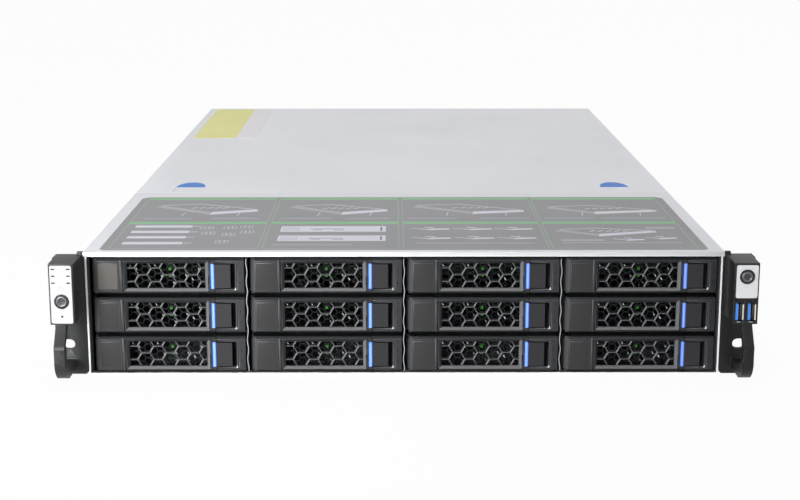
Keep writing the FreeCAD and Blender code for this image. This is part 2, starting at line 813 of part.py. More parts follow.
def release_button_masters():
    """The two solids of a release button: the thumb pad and the coloured strip beside it."""
    thumb = new_body("ThumbMaster")
    low = BEZEL_MIDDLE + " - latch_height / 2"
    high = BEZEL_MIDDLE + " + latch_height / 2"
    pad(thumb, "Y", "fit_gap", "latch_skin", rectangle(SEAM, SEAM + " + latch_width", low, high))
    pad(thumb, "Y", "fit_gap + latch_skin", "latch_recess - fit_gap - latch_skin",
        rectangle(SEAM, SEAM + " + latch_stem", low, high))
    strip = new_body("StripMaster")
    pad(strip, "Y", "-strip_proud", "latch_recess + strip_proud",
        rectangle(SEAM + " - strip_width", SEAM, BEZEL_MIDDLE + " - strip_height / 2",
                  BEZEL_MIDDLE + " + strip_height / 2"))
    return [thumb, strip]


def drive_bays():
    """Twelve carriers, each with its lever and release button, from the top left bay on."""
    families = [("carrier", [carrier_master()]), ("lever", [lever_master()]),
                ("release_button", release_button_masters())]
    for label, masters in families:
        for row in range(DRIVE_ROWS):
            for column in range(DRIVE_COLUMNS):
                number = row * DRIVE_COLUMNS + column + 1
                across = "(%s) * bay_pitch" % (column - (DRIVE_COLUMNS - 1) / 2)
                up = "row_bottom + %d * row_pitch" % (DRIVE_ROWS - 1 - row)
                copy_of(masters, "%s_%02d" % (label, number), across, "bezel_setback", up)


# ---------------------------------------------------------------------------------------------
# Fans
# ---------------------------------------------------------------------------------------------

FIRST_FAN = "(0.5 - %d / 2) * fan_pitch" % FAN_COUNT
FAN_AXIS_HEIGHT = "(metal + fan_tray + fan_size / 2)"


def fan_frames():
    """The row of fan housings on their tray, each with a motor mount behind its struts."""
    body = new_body("FanFrames")
    pad(body, "Z", "metal", "fan_tray",
        rectangle("-" + INNER_SIDE + " + fit_gap", INNER_SIDE + " - fit_gap", "fan_setback",
                  "fan_setback + fan_length"))
    housing = pad(body, "Y", "fan_setback", "fan_length",
                  centred("fan_size", "fan_size", FIRST_FAN, FAN_AXIS_HEIGHT))
    duct = pocket(body, "Y", "fan_setback", "fan_length", (FIRST_FAN, FAN_AXIS_HEIGHT, "fan_bore"))
    motor_front = "(fan_setback + fan_length - fan_motor_length)"
    motor = pad(body, "Y", motor_front, "fan_motor_length", (FIRST_FAN, FAN_AXIS_HEIGHT, "fan_hub"))
    struts = []
    for width, height in (("fan_bore + fan_strut", "fan_strut"), ("fan_strut", "fan_bore + fan_strut")):
        struts.append(pad(body, "Y", motor_front, "fan_motor_length / 2",
                          centred(width, height, FIRST_FAN, FAN_AXIS_HEIGHT)))
    bearing = pocket(body, "Y", motor_front, "fan_bearing",
                     (FIRST_FAN, FAN_AXIS_HEIGHT, "fan_shaft + 2 * hinge_play"))
    grid(body, [housing, duct, motor] + struts + [bearing], ("X", "fan_pitch", FAN_COUNT))
    return name_part(body, "fan_frames")


def fan_rotors():
    """The rotors: a hub with pitched blades, one for each housing."""
    body = new_body("RotorMaster")
    pad(body, "Y", "0", "fan_hub_length", ("0", "0", "fan_hub"))
    pad(body, "Y", "fan_hub_length", "fan_tip_gap + fan_shaft_reach", ("0", "0", "fan_shaft"))
    blade = [("fan_blade_margin", "-fan_blade_chord / 2"),
             ("fan_blade_margin + fan_blade", "-fan_blade_chord / 2"),
             ("fan_hub_length - fan_blade_margin", "fan_blade_chord / 2"),
             ("fan_hub_length - fan_blade_margin - fan_blade", "fan_blade_chord / 2")]
    root = "fan_hub / 2 - 2 * fan_blade"
    feature = pad(body, "X", root, "fan_bore / 2 - fan_tip_gap * 2 - (%s)" % root, blade)
    wheel = body.newObject("PartDesign::PolarPattern", "Blades")
    wheel.Originals = [feature]
    wheel.Axis = (origin_feature(body, AXES["Y"]), [""])
    wheel.Angle = 360
    wheel.Occurrences = FAN_BLADES
    body.Tip = wheel
    doc.recompute()
    front = "fan_setback + fan_length - fan_motor_length - fan_tip_gap - fan_hub_length"
    for index in range(FAN_COUNT):
        copy_of([body], "fan_rotor_%d" % (index + 1),
                "%s + %d * fan_pitch" % (FIRST_FAN, index), front, FAN_AXIS_HEIGHT)


# ---------------------------------------------------------------------------------------------
# Motherboard, heatsinks and memory
# ---------------------------------------------------------------------------------------------

HEATSINK_X = ["%s - heatsink_spacing / 2" % BOARD_MIDDLE, "%s + heatsink_spacing / 2" % BOARD_MIDDLE]
HEATSINK_FRONT = "(%s + heatsink_setback - heatsink_length / 2)" % BOARD_FRONT


def memory_positions():
    """The x position of each memory module: a bank on both sides of each heatsink."""
    positions = []
    for middle in HEATSINK_X:
        for side in (-1, 1):
            for index in range(MEMORY_PER_BANK):
                offset = "(heatsink_width / 2 + memory_pitch * %s)" % (index + 1)
                positions.append("%s + (%d) * %s" % (middle, side, offset))
    return positions


def motherboard():
    """The main board on its standoffs, with processor and memory sockets, and its rear jacks."""
    body = new_body("Motherboard")
    pad(body, "Z", "metal + main_board_rise", "board",
        rectangle(BOARD_LEFT, BOARD_LEFT + " + main_board_width", BOARD_FRONT,
                  BOARD_FRONT + " + main_board_length"))
    foot = pad(body, "Z", "metal", "main_board_rise",
               centred("standoff", "standoff", BOARD_LEFT + " + standoff * 2",
                       BOARD_FRONT + " + standoff * 2"))
    grid(body, [foot], ("X", "(main_board_width - standoff * 4) / 2", 3),
         ("Y", "(main_board_length - standoff * 4) / 2", 3))
    sockets = new_body("Sockets")
    processor = [centred("heatsink_width - 2 * socket_inset", "heatsink_length - 2 * socket_inset",
                         middle, HEATSINK_FRONT + " + heatsink_length / 2") for middle in HEATSINK_X]
    pad(sockets, "Z", BOARD_TOP, "socket_height", *processor)
    memory = [centred("memory_socket_width", "memory_length + 2 * memory_latch", middle,
                      HEATSINK_FRONT + " + heatsink_length / 2") for middle in memory_positions()]
    pad(sockets, "Z", BOARD_TOP, "memory_socket", *memory)
    return group_of([body, sockets] + network_jacks(), "motherboard")


def network_jacks():
    """The rear jacks, each a moulded back block with two side walls, a floor and a roof."""
    blocks = []
    sides = []
    lids = []
    top = BOARD_TOP + " + port_height"
    for index in range(JACK_COUNT):
        left = JACK_LEFT % index
        right = left + " + port_width"
        inner_left = left + " + port_side"
        inner_right = right + " - port_side"
        blocks.append(rectangle(left, right, BOARD_TOP, top))
        sides.append(rectangle(left, inner_left, BOARD_TOP, top))
        sides.append(rectangle(inner_right, right, BOARD_TOP, top))
        lids.append(rectangle(inner_left, inner_right, BOARD_TOP, BOARD_TOP + " + port_floor"))
        lids.append(rectangle(inner_left, inner_right, top + " - port_side", top))
    pieces = []
    for name, start, length, shapes in (
            ("JackBlocks", "body_depth - port_length", "port_length - port_depth", blocks),
            ("JackSides", "body_depth - port_depth", "port_depth", sides),
            ("JackLids", "body_depth - port_depth", "port_depth", lids)):
        piece = new_body(name)
        pad(piece, "Y", start, length, *shapes)
        pieces.append(piece)
    return pieces


def heatsinks():
    """Two processor heatsinks: a base plate under upright fins that run with the air."""
    body = new_body("HeatsinkMaster")
    pad(body, "Z", "0", "heatsink_base", centred("heatsink_width", "heatsink_length"))
    first = "-(heatsink_width - heatsink_fin) / 2"
    fin = pad(body, "Z", "heatsink_base", "heatsink_height - heatsink_base",
              centred("heatsink_fin", "heatsink_length", first))
    repeat(body, [fin], "X", "(heatsink_width - heatsink_fin) / %d" % (HEATSINK_FINS - 1),
           HEATSINK_FINS)
    pair = []
    for middle in HEATSINK_X:
        item = doc.addObject("Part::Compound", "Heatsink")
        item.Links = [body]
        place(item, middle, HEATSINK_FRONT + " + heatsink_length / 2", BOARD_TOP + " + socket_height")
        pair.append(item)
    return group_of(pair, "heatsinks")


def memory_modules():
    """The memory modules, upright in their sockets."""
    modules = []
    for middle in memory_positions():
        item = doc.addObject("Part::Box", "Module")
        item.setExpression("Length", bound("memory_thick"))
        item.setExpression("Width", bound("memory_length"))
        item.setExpression("Height", bound("memory_height"))
        place(item, "%s - memory_thick / 2" % middle,
              HEATSINK_FRONT + " + heatsink_length / 2 - memory_length / 2",
              BOARD_TOP + " + memory_socket")
        modules.append(item)
    return group_of(modules, "memory_modules")


# ---------------------------------------------------------------------------------------------
# Power supplies and rear wall pieces
# ---------------------------------------------------------------------------------------------

def psu_master():
    """A power supply: case, fan grille recess, mains inlet and pull handle."""
    body = new_body("PsuMaster")
    pad(body, "Y", "0", "psu_length", rectangle("0", "psu_width", "0", "psu_height"))
    inlet_left = "psu_width - psu_gap - psu_inlet_inset - psu_inlet_width"
    inlet_low = "(psu_height - psu_inlet_height) / 2"
    pocket(body, "Y", "psu_length - psu_inlet_depth", "psu_inlet_depth",
           rectangle(inlet_left, inlet_left + " + psu_inlet_width", inlet_low,
                     inlet_low + " + psu_inlet_height"))
    pocket(body, "Y", "psu_length - psu_grille_depth", "psu_grille_depth",
           ("psu_fan_bore / 2 + psu_fan_inset", "psu_height / 2", "psu_fan_bore"))
    low = "(psu_height - psu_handle_height) / 2"
    high = "(psu_height + psu_handle_height) / 2"
    reach = "psu_length + psu_handle_reach"
    thick = "psu_handle_thick"
    bar_left = inlet_left + " - psu_handle_thick - psu_gap"
    outer = loop_end(reach, low, high, "psu_handle_corner")
    inner = loop_end("%s - %s" % (reach, thick), "%s + %s" % (low, thick),
                     "%s - %s" % (high, thick), "psu_handle_inner_corner")
    pad(body, "X", bar_left, thick, outer + inner[::-1])
    return body


def loop_end(reach, low, high, corner):
    """One side of a pull handle's band, from the case out, up and back, with cut corners."""
    return [("psu_length", low), ("%s - %s" % (reach, corner), low),
            (reach, "%s + %s" % (low, corner)), (reach, "%s - %s" % (high, corner)),
            ("%s - %s" % (reach, corner), high), ("psu_length", high)]


def psu_latch_master():
    """The spring tab at the power supply's outer edge."""
    body = new_body("PsuLatchMaster")
    left = "psu_width - psu_gap - psu_latch_thick"
    low = "(psu_height - psu_latch_height) / 2"
    pad(body, "Y", "psu_length", "psu_latch_reach",
        rectangle(left, left + " + psu_latch_thick", low, low + " + psu_latch_height"))
    pad(body, "Y", "psu_length", "psu_latch_thick",
        rectangle(left + " - psu_latch_width + psu_latch_travel", left, low,
                  low + " + psu_latch_height"))
    return body


def power_supplies():
    """Two power supplies, one above the other, each with its latch."""
    masters = (("psu", psu_master()), ("psu_latch", psu_latch_master()))
    for label, master in masters:
        for index in range(2):
            up = "%s + %d * (psu_height + psu_stack_gap)" % (PSU_LOW, index)
            copy_of([master], "%s_%d" % (label, index + 1), PSU_LEFT, PSU_FRONT, up)


def slot_covers():
    """The blank covers behind the expansion slots of the rear wall."""
    body = new_body("SlotCovers")
    left = "slot_left - %s" % INNER_SIDE
    cover = pad(body, "Y", "body_depth - metal - slot_cover", "slot_cover",
                rectangle(left + " - slot_overlap", left + " + slot_width - slot_overlap",
                          "slot_rise - slot_overlap", "slot_rise + slot_height - slot_overlap"))
    grid(body, [cover], ("X", "slot_group_pitch", SLOT_GROUPS), ("Z", "slot_pitch", SLOT_ROWS))
    return name_part(body, "slot_covers")


# ---------------------------------------------------------------------------------------------
# Rack ears and front panels
# ---------------------------------------------------------------------------------------------

def sided(sign, corners):
    """Corners on one side of the server: x positions are given as distances from the middle."""
    return [("%d * (%s)" % (sign, across), along) for across, along in corners]


def span_start(sign, inner, outer):
    """Where a stretch between two distances from the middle starts, along +X."""
    return inner if sign > 0 else "-(%s)" % outer


def rack_ear(sign, label):
    """An ear: flange with its slot, leg along the chassis side, control pod and loop handle."""
    body = new_body(label.title().replace("_", ""))
    cover_low = LIP_BOTTOM + " - fit_gap"
    clear = HALF_BODY + " + cover_overhang + fit_gap"
    pad(body, "Y", "0", "ear_thick", sided(sign, [
        (HALF_BODY, "ear_bottom + ear_corner"), (HALF_BODY + " + ear_corner", "ear_bottom"),
        ("ear_reach", "ear_bottom"), ("ear_reach", "ear_top"),
        (clear + " + ear_nub_width", "ear_top"), (clear + " + ear_nub_width", "ear_nub_top"),
        (clear, "ear_nub_top"), (clear, cover_low), (HALF_BODY, cover_low)]))
    leg_start = span_start(sign, HALF_BODY, HALF_BODY + " + ear_leg")
    pad(body, "X", leg_start, "ear_leg",
        rectangle("0", "ear_leg_length", "ear_bottom + ear_corner", cover_low))
    pod_outer = POD_INNER + " + pod_width"
    pad(body, "Y", "-pod_reach", "pod_reach + ear_thick",
        sided(sign, rectangle(POD_INNER, pod_outer, "pod_bottom", "ear_top")))
    pad(body, "X", span_start(sign, HANDLE_INNER, HANDLE_INNER + " + handle_width"),
        "handle_width", handle_profile())
    round_handle(body)
    rack_slot(body, sign)
    pod_cavities(body, sign)
    return name_part(body, label)


def handle_profile():
    """The side view of the loop handle, a band from the pod's underside round to the flange."""
    front = "-handle_reach"
    inside = "(handle_strap - handle_reach)"
    neck = "(handle_neck - pod_reach)"
    neck_back = "(handle_neck - pod_reach + handle_strap)"
    bottom_inside = "handle_bottom + handle_strap"
    return [("ear_thick / 2", "handle_bottom"), (front, "handle_bottom"),
            (front, "pod_bottom - handle_shoulder"), (neck, "pod_bottom"),
            (neck, "pod_bottom + ear_thick"), (neck_back, "pod_bottom + ear_thick"),
            (neck_back, "pod_bottom - handle_neck"), (inside, "pod_bottom - handle_inner_shoulder"),
            (inside, bottom_inside), ("ear_thick / 2", bottom_inside)]


def round_handle(body):
    """Rounds the front corners of the loop, outside and inside."""
    front = -size("handle_reach")
    strap = size("handle_strap")
    shoulder = size("pod_bottom") - size("handle_shoulder")

    def corner(along, up):
        def test(one, two):
            return (runs_along("X")(one, two) and abs(one.y - along) < 1e-6
                    and abs(one.z - up) < 1e-6)
        return test
    soften(body, "Fillet", "handle_round", corner(front, size("handle_bottom")))
    soften(body, "Fillet", "handle_shoulder_round", corner(front, shoulder))
    soften(body, "Fillet", "handle_inner_round",
           corner(front + strap, size("handle_bottom") + strap))


def rack_slot(body, sign):
    """The rounded slot for the rack screw."""
    middle = "%d * rack_hole_spacing / 2" % sign
    run = "(rack_slot_length - rack_slot_height)"
    pocket(body, "Y", "0", "ear_thick",
           centred(run, "rack_slot_height", middle, "rack_hole_height"))
    for end in ("-", "+"):
        pocket(body, "Y", "0", "ear_thick",
               ("%s %s %s / 2" % (middle, end, run), "rack_hole_height", "rack_slot_height"))


def pod_cavities(body, sign):
    """The bore of the pod's button and, in the right pod, the sockets of the USB ports."""
    height = "power_button_height" if sign < 0 else "uid_button_height"
    middle = "%d * %s" % (sign, POD_MIDDLE)
    pocket(body, "Y", "-pod_reach", "button_length + button_travel", (middle, height, "button_bore"))
    if sign > 0:
        pocket(body, "Y", "-pod_reach", "usb_length",
               *[centred("usb_width + 2 * fit_gap", "usb_height + 2 * fit_gap", across,
                         "(usb_bottom + usb_height / 2)") for across in usb_positions()])


def usb_positions():
    """The x positions of the two front ports."""
    return ["(%s - usb_spacing / 2)" % POD_MIDDLE, "(%s + usb_spacing / 2)" % POD_MIDDLE]


def panel_faces():
    """The two light face plates of the pods."""
    body = new_body("PanelFaces")
    inner = POD_INNER + " + plate_margin"
    outer = POD_INNER + " + pod_width - plate_margin"
    top = "ear_top - plate_margin"
    front = "-pod_reach - plate"
    pad(body, "Y", front, "plate",
        sided(-1, rectangle(inner, outer, "pod_bottom + plate_margin", top)),
        sided(1, rectangle(inner, outer, "right_plate_bottom", top)))
    soften(body, "Chamfer", "plate_margin", runs_along("Y"))
    pocket(body, "Y", front, "plate",
           ("-" + POD_MIDDLE, "power_button_height", "button_bore"),
           ("-" + POD_MIDDLE, "reset_hole_height", "reset_hole"),
           (POD_MIDDLE, "uid_button_height", "button_bore"))
    return name_part(body, "panel_faces")


def pod_buttons():
    """The power button and the locator button: a round cap each."""
    master = new_body("ButtonMaster")
    pad(master, "Y", "0", "button_length", ("0", "0", "button"))
    front = "-pod_reach - plate - button_proud"
    copy_of([master], "power_button", "-" + POD_MIDDLE, front, "power_button_height")
    copy_of([master], "uid_button", POD_MIDDLE, front, "uid_button_height")


def usb_ports():
    """The two front ports: metal shells round a tongue."""
    body = new_body("UsbPorts")
    middle = "(usb_bottom + usb_height / 2)"
    front = "-pod_reach - plate / 2"
    wall = "2 * usb_wall"
    pad(body, "Y", front, "usb_length + plate / 2",
        *[centred("usb_width", "usb_height", across, middle) for across in usb_positions()])
    pocket(body, "Y", front, "usb_depth",
           *[centred("usb_width - " + wall, "usb_height - " + wall, across, middle)
             for across in usb_positions()])
    pad(body, "Y", front + " + usb_wall", "usb_depth",
        *[centred("usb_tongue", "usb_height - 3 * " + wall,
                  across + " + usb_width / 6", middle) for across in usb_positions()])
    return name_part(body, "usb_ports")


# ---------------------------------------------------------------------------------------------
# Build, check and write
# ---------------------------------------------------------------------------------------------

def check_document():
    """Stops if any object failed, or if a cut took nothing away."""
    for item in doc.Objects:
        if "Invalid" in item.State or "Error" in item.State:
            raise RuntimeError("%s failed: %s" % (item.Label, item.State))
        if item.TypeId == "PartDesign::Pocket":
            before = item.BaseFeature.Shape.Volume
            if item.Shape.Volume > before - 1e-6:
                owner = item.getParentGeoFeatureGroup().Label
                raise RuntimeError("%s of %s cuts nothing" % (item.Name, owner))
    labels = [item.Label for item in subparts]
    if len(set(labels)) != len(labels):
        raise RuntimeError("two sub-parts share a name")
    for item in subparts:
        if item.Shape.isNull() or not item.Shape.isValid() or item.Shape.Volume <= 0:
            raise RuntimeError("%s has no valid shape" % item.Label)


def main():
    group_of([chassis_tray(), rear_wall(), supply_bay()], "chassis_tray")
    front_cover()
    rear_cover()
    drive_cage()
    backplane()
    drive_bays()
    fan_frames()
    fan_rotors()
    motherboard()
    heatsinks()
    memory_modules()
    power_supplies()
    slot_covers()
    rack_ear(-1, "left_ear")
    rack_ear(1, "right_ear")
    panel_faces()
    pod_buttons()
    usb_ports()
    doc.recompute()
    check_document()
    os.makedirs("parts", exist_ok=True)
    for item in subparts:
        item.Shape.exportStep("parts/%s.step" % item.Label)
        print("%-20s %2d solid(s) %12.1f mm3" % (item.Label, len(item.Shape.Solids), item.Shape.Volume))


main()
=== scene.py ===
"""Looks of the 2U rack server with twelve drive bays, laid out as an add-on.

Sizes in this file are millimetres in the server's own frame and become metres in the meshes.
"""
import math
import random

import bmesh
import bpy
from bpy.props import FloatProperty, FloatVectorProperty, IntProperty, PointerProperty
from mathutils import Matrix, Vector


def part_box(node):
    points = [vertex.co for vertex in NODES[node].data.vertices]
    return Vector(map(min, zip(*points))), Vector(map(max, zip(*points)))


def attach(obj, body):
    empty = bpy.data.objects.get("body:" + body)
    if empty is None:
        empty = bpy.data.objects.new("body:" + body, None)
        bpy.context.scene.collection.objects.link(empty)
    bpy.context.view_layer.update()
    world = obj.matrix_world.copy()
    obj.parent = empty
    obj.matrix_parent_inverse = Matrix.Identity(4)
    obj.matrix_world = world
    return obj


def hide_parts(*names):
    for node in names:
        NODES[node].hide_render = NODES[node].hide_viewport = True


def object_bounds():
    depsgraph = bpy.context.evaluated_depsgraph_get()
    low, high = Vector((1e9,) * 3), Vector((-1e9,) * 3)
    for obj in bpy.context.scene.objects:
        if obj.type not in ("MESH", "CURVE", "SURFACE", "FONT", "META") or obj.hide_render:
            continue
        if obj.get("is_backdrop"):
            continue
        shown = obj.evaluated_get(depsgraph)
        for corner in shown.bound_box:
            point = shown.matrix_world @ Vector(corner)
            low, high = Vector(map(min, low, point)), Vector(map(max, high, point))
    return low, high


bl_info = {
    "name": "Rack Server Looks",
    "version": (1, 0, 0),
    "blender": (4, 5, 0),
    "location": "View3D > Sidebar > Rack Server",
    "description": "Finishes and fine pieces of a 2U rack server on its packed frame",
    "category": "Object",
}

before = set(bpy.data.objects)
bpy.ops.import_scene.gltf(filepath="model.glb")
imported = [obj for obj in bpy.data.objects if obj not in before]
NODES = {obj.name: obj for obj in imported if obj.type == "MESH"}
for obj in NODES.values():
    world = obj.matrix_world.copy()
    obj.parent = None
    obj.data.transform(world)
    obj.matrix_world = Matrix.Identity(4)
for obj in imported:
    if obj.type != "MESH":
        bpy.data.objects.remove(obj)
CAD_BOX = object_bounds()
MM = 0.001


def low(node):
    """The lowest corner of a CAD node, in millimetres."""
    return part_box(node)[0] / MM


def high(node):
    """The highest corner of a CAD node, in millimetres."""
    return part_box(node)[1] / MM


def tone(red, green, blue):
    """A colour given as 0 to 255 screen values, as the linear numbers that shaders take."""
    values = []
    for value in (red, green, blue):
        value = value / 255
        values.append(value / 12.92 if value <= 0.04045 else ((value + 0.055) / 1.055) ** 2.4)
    return tuple(values)


# ---------------------------------------------------------------------------------------------
# Shader maths
# ---------------------------------------------------------------------------------------------

# How a pattern's axes are stretched: not at all, or into long lines.
EVEN = (1.0, 1.0, 1.0)
DRAWN = (1.0, 0.03, 1.0)


class Signal:
    """A number or colour that a material works out, with Python's operators on it."""

    def __init__(self, paint, socket):
        self.paint = paint
        self.socket = socket

    def maths(self, operation, one, two):
        """One arithmetic node."""
        return self.paint.node("ShaderNodeMath", {"operation": operation}, {0: one, 1: two})

    def __add__(self, other):
        return self.maths("ADD", self, other)

    def __radd__(self, other):
        return self.maths("ADD", other, self)

    def __sub__(self, other):
        return self.maths("SUBTRACT", self, other)

    def __rsub__(self, other):
        return self.maths("SUBTRACT", other, self)

    def __mul__(self, other):
        return self.maths("MULTIPLY", self, other)

    def __truediv__(self, other):
        return self.maths("DIVIDE", self, other)

    def __gt__(self, other):
        return self.maths("GREATER_THAN", self, other)

    def __lt__(self, other):
        return self.maths("LESS_THAN", self, other)

    def folded(self, width):
        """Runs up to a width and back down, over and over."""
        return self.maths("PINGPONG", self, width)

    def between(self, start, end):
        """Rises smoothly from 0 to 1 as this goes from start to end."""
        return self.paint.node("ShaderNodeMapRange", {"interpolation_type": "SMOOTHSTEP"},
                               {"Value": self, "From Min": start, "From Max": end})


class Paint:
    """One finish: a Principled shader and the nodes that vary it over the surface."""

    def __init__(self, name, colour, roughness, metallic=0.0, **steady):
        self.material = bpy.data.materials.new(name)
        self.material.use_nodes = True
        self.tree = self.material.node_tree
        self.tree.nodes.clear()
        self.shader = self.tree.nodes.new("ShaderNodeBsdfPrincipled")
        self.output = self.tree.nodes.new("ShaderNodeOutputMaterial")
        self.tree.links.new(self.shader.outputs[0], self.output.inputs["Surface"])
        self.colour = full(colour)
        self.feed("Base Color", self.colour)
        self.feed("Roughness", roughness)
        self.feed("Metallic", metallic)
        for words, value in steady.items():
            self.feed(words.replace("_", " ").title().replace("Ior", "IOR"), value)
        self.height = None

    def node(self, kind, settings=None, inputs=None, output=0):
        """A shader node: its settings first, then its sockets' values or links."""
        node = self.tree.nodes.new(kind)
        for words, value in (settings or {}).items():
            setattr(node, words, value)
        for socket, value in (inputs or {}).items():
            self.join(node.inputs[socket], value)
        return None if output is None else Signal(self, node.outputs[output])

    def join(self, socket, value):
        """Links a signal to a socket, or sets the socket to a steady value."""
        if isinstance(value, Signal):
            self.tree.links.new(value.socket, socket)
        else:
            socket.default_value = value

    def feed(self, name, value):
        """Gives the shader's input of that name a signal or a value."""
        self.join(self.shader.inputs[name], value)

    def place(self, stretch=EVEN):
        """Where a point is, in metres, with its axes stretched."""
        at = self.node("ShaderNodeTexCoord", None, None, "Object")
        return self.node("ShaderNodeVectorMath", {"operation": "MULTIPLY"}, {0: at, 1: stretch})

    def noise(self, grain, detail=2.0, rough=0.5, stretch=EVEN):
        """Soft noise whose features are about grain millimetres wide."""
        return self.node("ShaderNodeTexNoise", None, {
            "Vector": self.place(stretch), "Scale": 1 / (grain * MM), "Detail": detail,
            "Roughness": rough})

    def cells(self, grain, output="Distance"):
        """Cells about grain millimetres wide."""
        return self.node("ShaderNodeTexVoronoi", None, {
            "Vector": self.place(), "Scale": 1 / (grain * MM)}, output)

    def axis(self, name, output="Object"):
        """One coordinate of a point, in millimetres (or 0 to 1 across the piece's box)."""
        at = self.node("ShaderNodeTexCoord", None, None, output)
        part = self.node("ShaderNodeSeparateXYZ", None, {0: at}, "XYZ".index(name))
        return part / MM if output == "Object" else part

    def mix(self, factor, one, two):
        """Between two colours."""
        return self.node("ShaderNodeMix", {"data_type": "RGBA"},
                         {0: factor, 6: full(one), 7: full(two)}, 2)

    def tint(self, factor, other):
        """Moves the finish's colour towards another one."""
        self.colour = self.mix(factor, self.colour, other)
        self.feed("Base Color", self.colour)
        return self

    def relief(self, height, depth):
        """Adds fine relief, depth in millimetres, on top of any that is there."""
        inputs = {"Height": height, "Distance": depth * MM, "Strength": 1.0}
        if self.height is not None:
            inputs["Normal"] = self.height
        self.height = self.node("ShaderNodeBump", None, inputs)
        self.feed("Normal", self.height)
        return self


def full(colour):
    """A colour with its fourth number."""
    if isinstance(colour, Signal) or len(colour) == 4:
        return colour
    return (*colour, 1.0)


def shade(share, colour):
    """A colour times a number."""
    return tuple(share * part for part in colour)


PAINTS = {}
WHITE = (1.0, 1.0, 1.0)


def paint(name):
    """A finish by name, made the first time that it is asked for."""
    if name not in PAINTS:
        PAINTS[name] = FINISHES[name]()
    return PAINTS[name].material


# ---------------------------------------------------------------------------------------------
# Finishes
# ---------------------------------------------------------------------------------------------

def colours():
    """The colours that the sidebar shows."""
    return bpy.context.scene.rack_finishes


# The front cover's lip, the heights between which it bends, and the sheet's bare front edge. The
# lip and its bend carry painted shade.
LIP_DEPTH = 0.4
LIP_BEND = (83.6, 86.2)
CUT_DEPTH = 0.15


def coated_cover():
    """Pale grey powder coat with a fine orange-peel skin and faint rub marks; its front lip is
    painted a plain grey and its bend darker, as painted shade.
    """
    skin = Paint("CoverPowderCoat", colours().cover, 0.46, 0.25, coat_weight=0.05)
    cloud = skin.noise(120.0, 3.0)
    skin.tint(cloud.between(0.3, 0.75) * 0.25, tone(196, 198, 205))
    rub = skin.noise(26.0, 5.0, 0.6, (1.0, 0.12, 1.0)).between(0.56, 0.8)
    skin.feed("Roughness", 0.43 + rub * 0.1 + skin.noise(1.2) * 0.06)
    # Painted shade: the lip is toned down against the lamps, and its bend is darker still.
    lip = skin.axis("Y") < LIP_DEPTH
    skin.tint(lip, tone(222, 223, 225))
    skin.tint(lip * skin.axis("Z").between(*LIP_BEND), tone(196, 197, 200))
    return skin.relief(skin.noise(0.9, 2.0), 0.012)


def zinc(name, colour, spangle=9.0):
    """Galvanised sheet: large soft spangles that differ a little in tone and gloss."""
    metal = Paint(name, colour, 0.42, 0.85)
    flake = metal.cells(spangle, "Color")
    grain = metal.node("ShaderNodeSeparateColor", None, {0: flake}, 0)
    metal.tint(grain * 0.35, shade(0.72, colour))
    scratch = metal.noise(0.7, 3.0, 0.6, (1.0, 0.04, 1.0))
    metal.feed("Roughness", 0.3 + grain * 0.16 + scratch * 0.1)
    return metal.relief(metal.noise(1.6, 3.0), 0.01)


def folded_sheet():
    """The chassis sheet; its sheared front edge is bright bare steel."""
    metal = zinc("ZincSheet", colours().sheet)
    cut = metal.axis("Y") < CUT_DEPTH
    metal.tint(cut, tone(248, 248, 250))
    metal.feed("Metallic", 0.85 - cut * 0.6)
    return metal


def moulded(name, colour, roughness=0.5, grain=0.45, relief=0.02, gloss=0.34):
    """Moulded plastic with a fine spark-eroded texture, rubbed paler where hands meet it."""
    skin = Paint(name, colour, roughness, 0.0, specular_ior_level=gloss)
    skin.tint(skin.noise(24.0, 3.0).between(0.35, 0.75) * 0.3, shade(1.3, colour))
    skin.feed("Roughness", roughness - 0.06 + skin.noise(0.8, 2.0) * 0.14)
    return skin.relief(skin.cells(grain), relief)


def film(name, colour, roughness=0.5):
    """Printed polyester film with a matt skin."""
    skin = Paint(name, colour, roughness, 0.0, specular_ior_level=0.12)
    skin.tint(skin.noise(60.0, 3.0).between(0.3, 0.8) * 0.35, shade(1.18, colour))
    skin.feed("Roughness", roughness + skin.noise(4.0, 3.0) * 0.1)
    return skin.relief(skin.noise(0.5), 0.004)


def panel_skin():
    """Film of the face plates; the left one is painted greyer, as painted shade against the side
    lamp.
    """
    skin = film("PanelPlate", tone(212, 213, 215), 0.34)
    # Painted shade: the left plate is darkened where the side lamp falls strongest.
    skin.tint(skin.axis("X") < 0.0, tone(174, 175, 177))
    return skin


def solder_mask(name, colour):
    """A circuit board: lacquer over copper tracks, pads and vias."""
    board = Paint(name, colour, 0.34, 0.0, coat_weight=0.3)
    across = board.axis("X") + board.noise(16.0, 1.0) * 6.0
    along = board.axis("Y") + board.axis("Z") + board.noise(21.0, 1.0) * 6.0
    tracks = across.folded(1.1) > 0.82
    crossing = along.folded(1.4) > 1.1
    bundle = board.noise(26.0, 0.0).between(0.48, 0.52)
    lines = tracks * bundle + crossing * (1 - bundle)
    board.tint(lines * 0.55, tuple(1.7 * part + 0.01 for part in colour))
    vias = board.cells(3.4) < 0.12
    board.tint(vias * 0.8, tone(196, 190, 160))
    board.feed("Roughness", 0.3 + board.noise(9.0) * 0.12)
    return board.relief(lines, 0.03)


def bright_metal(name, colour, roughness, stretch=EVEN):
    """Bare metal: evenly brushed, or drawn with lines along its length."""
    metal = Paint(name, colour, roughness, 0.95)
    lines = metal.noise(0.5, 3.0, 0.6, stretch)
    metal.tint(lines.between(0.3, 0.8) * 0.3, shade(0.75, colour))
    metal.feed("Roughness", roughness - 0.06 + lines * 0.16)
    return metal.relief(lines, 0.008)


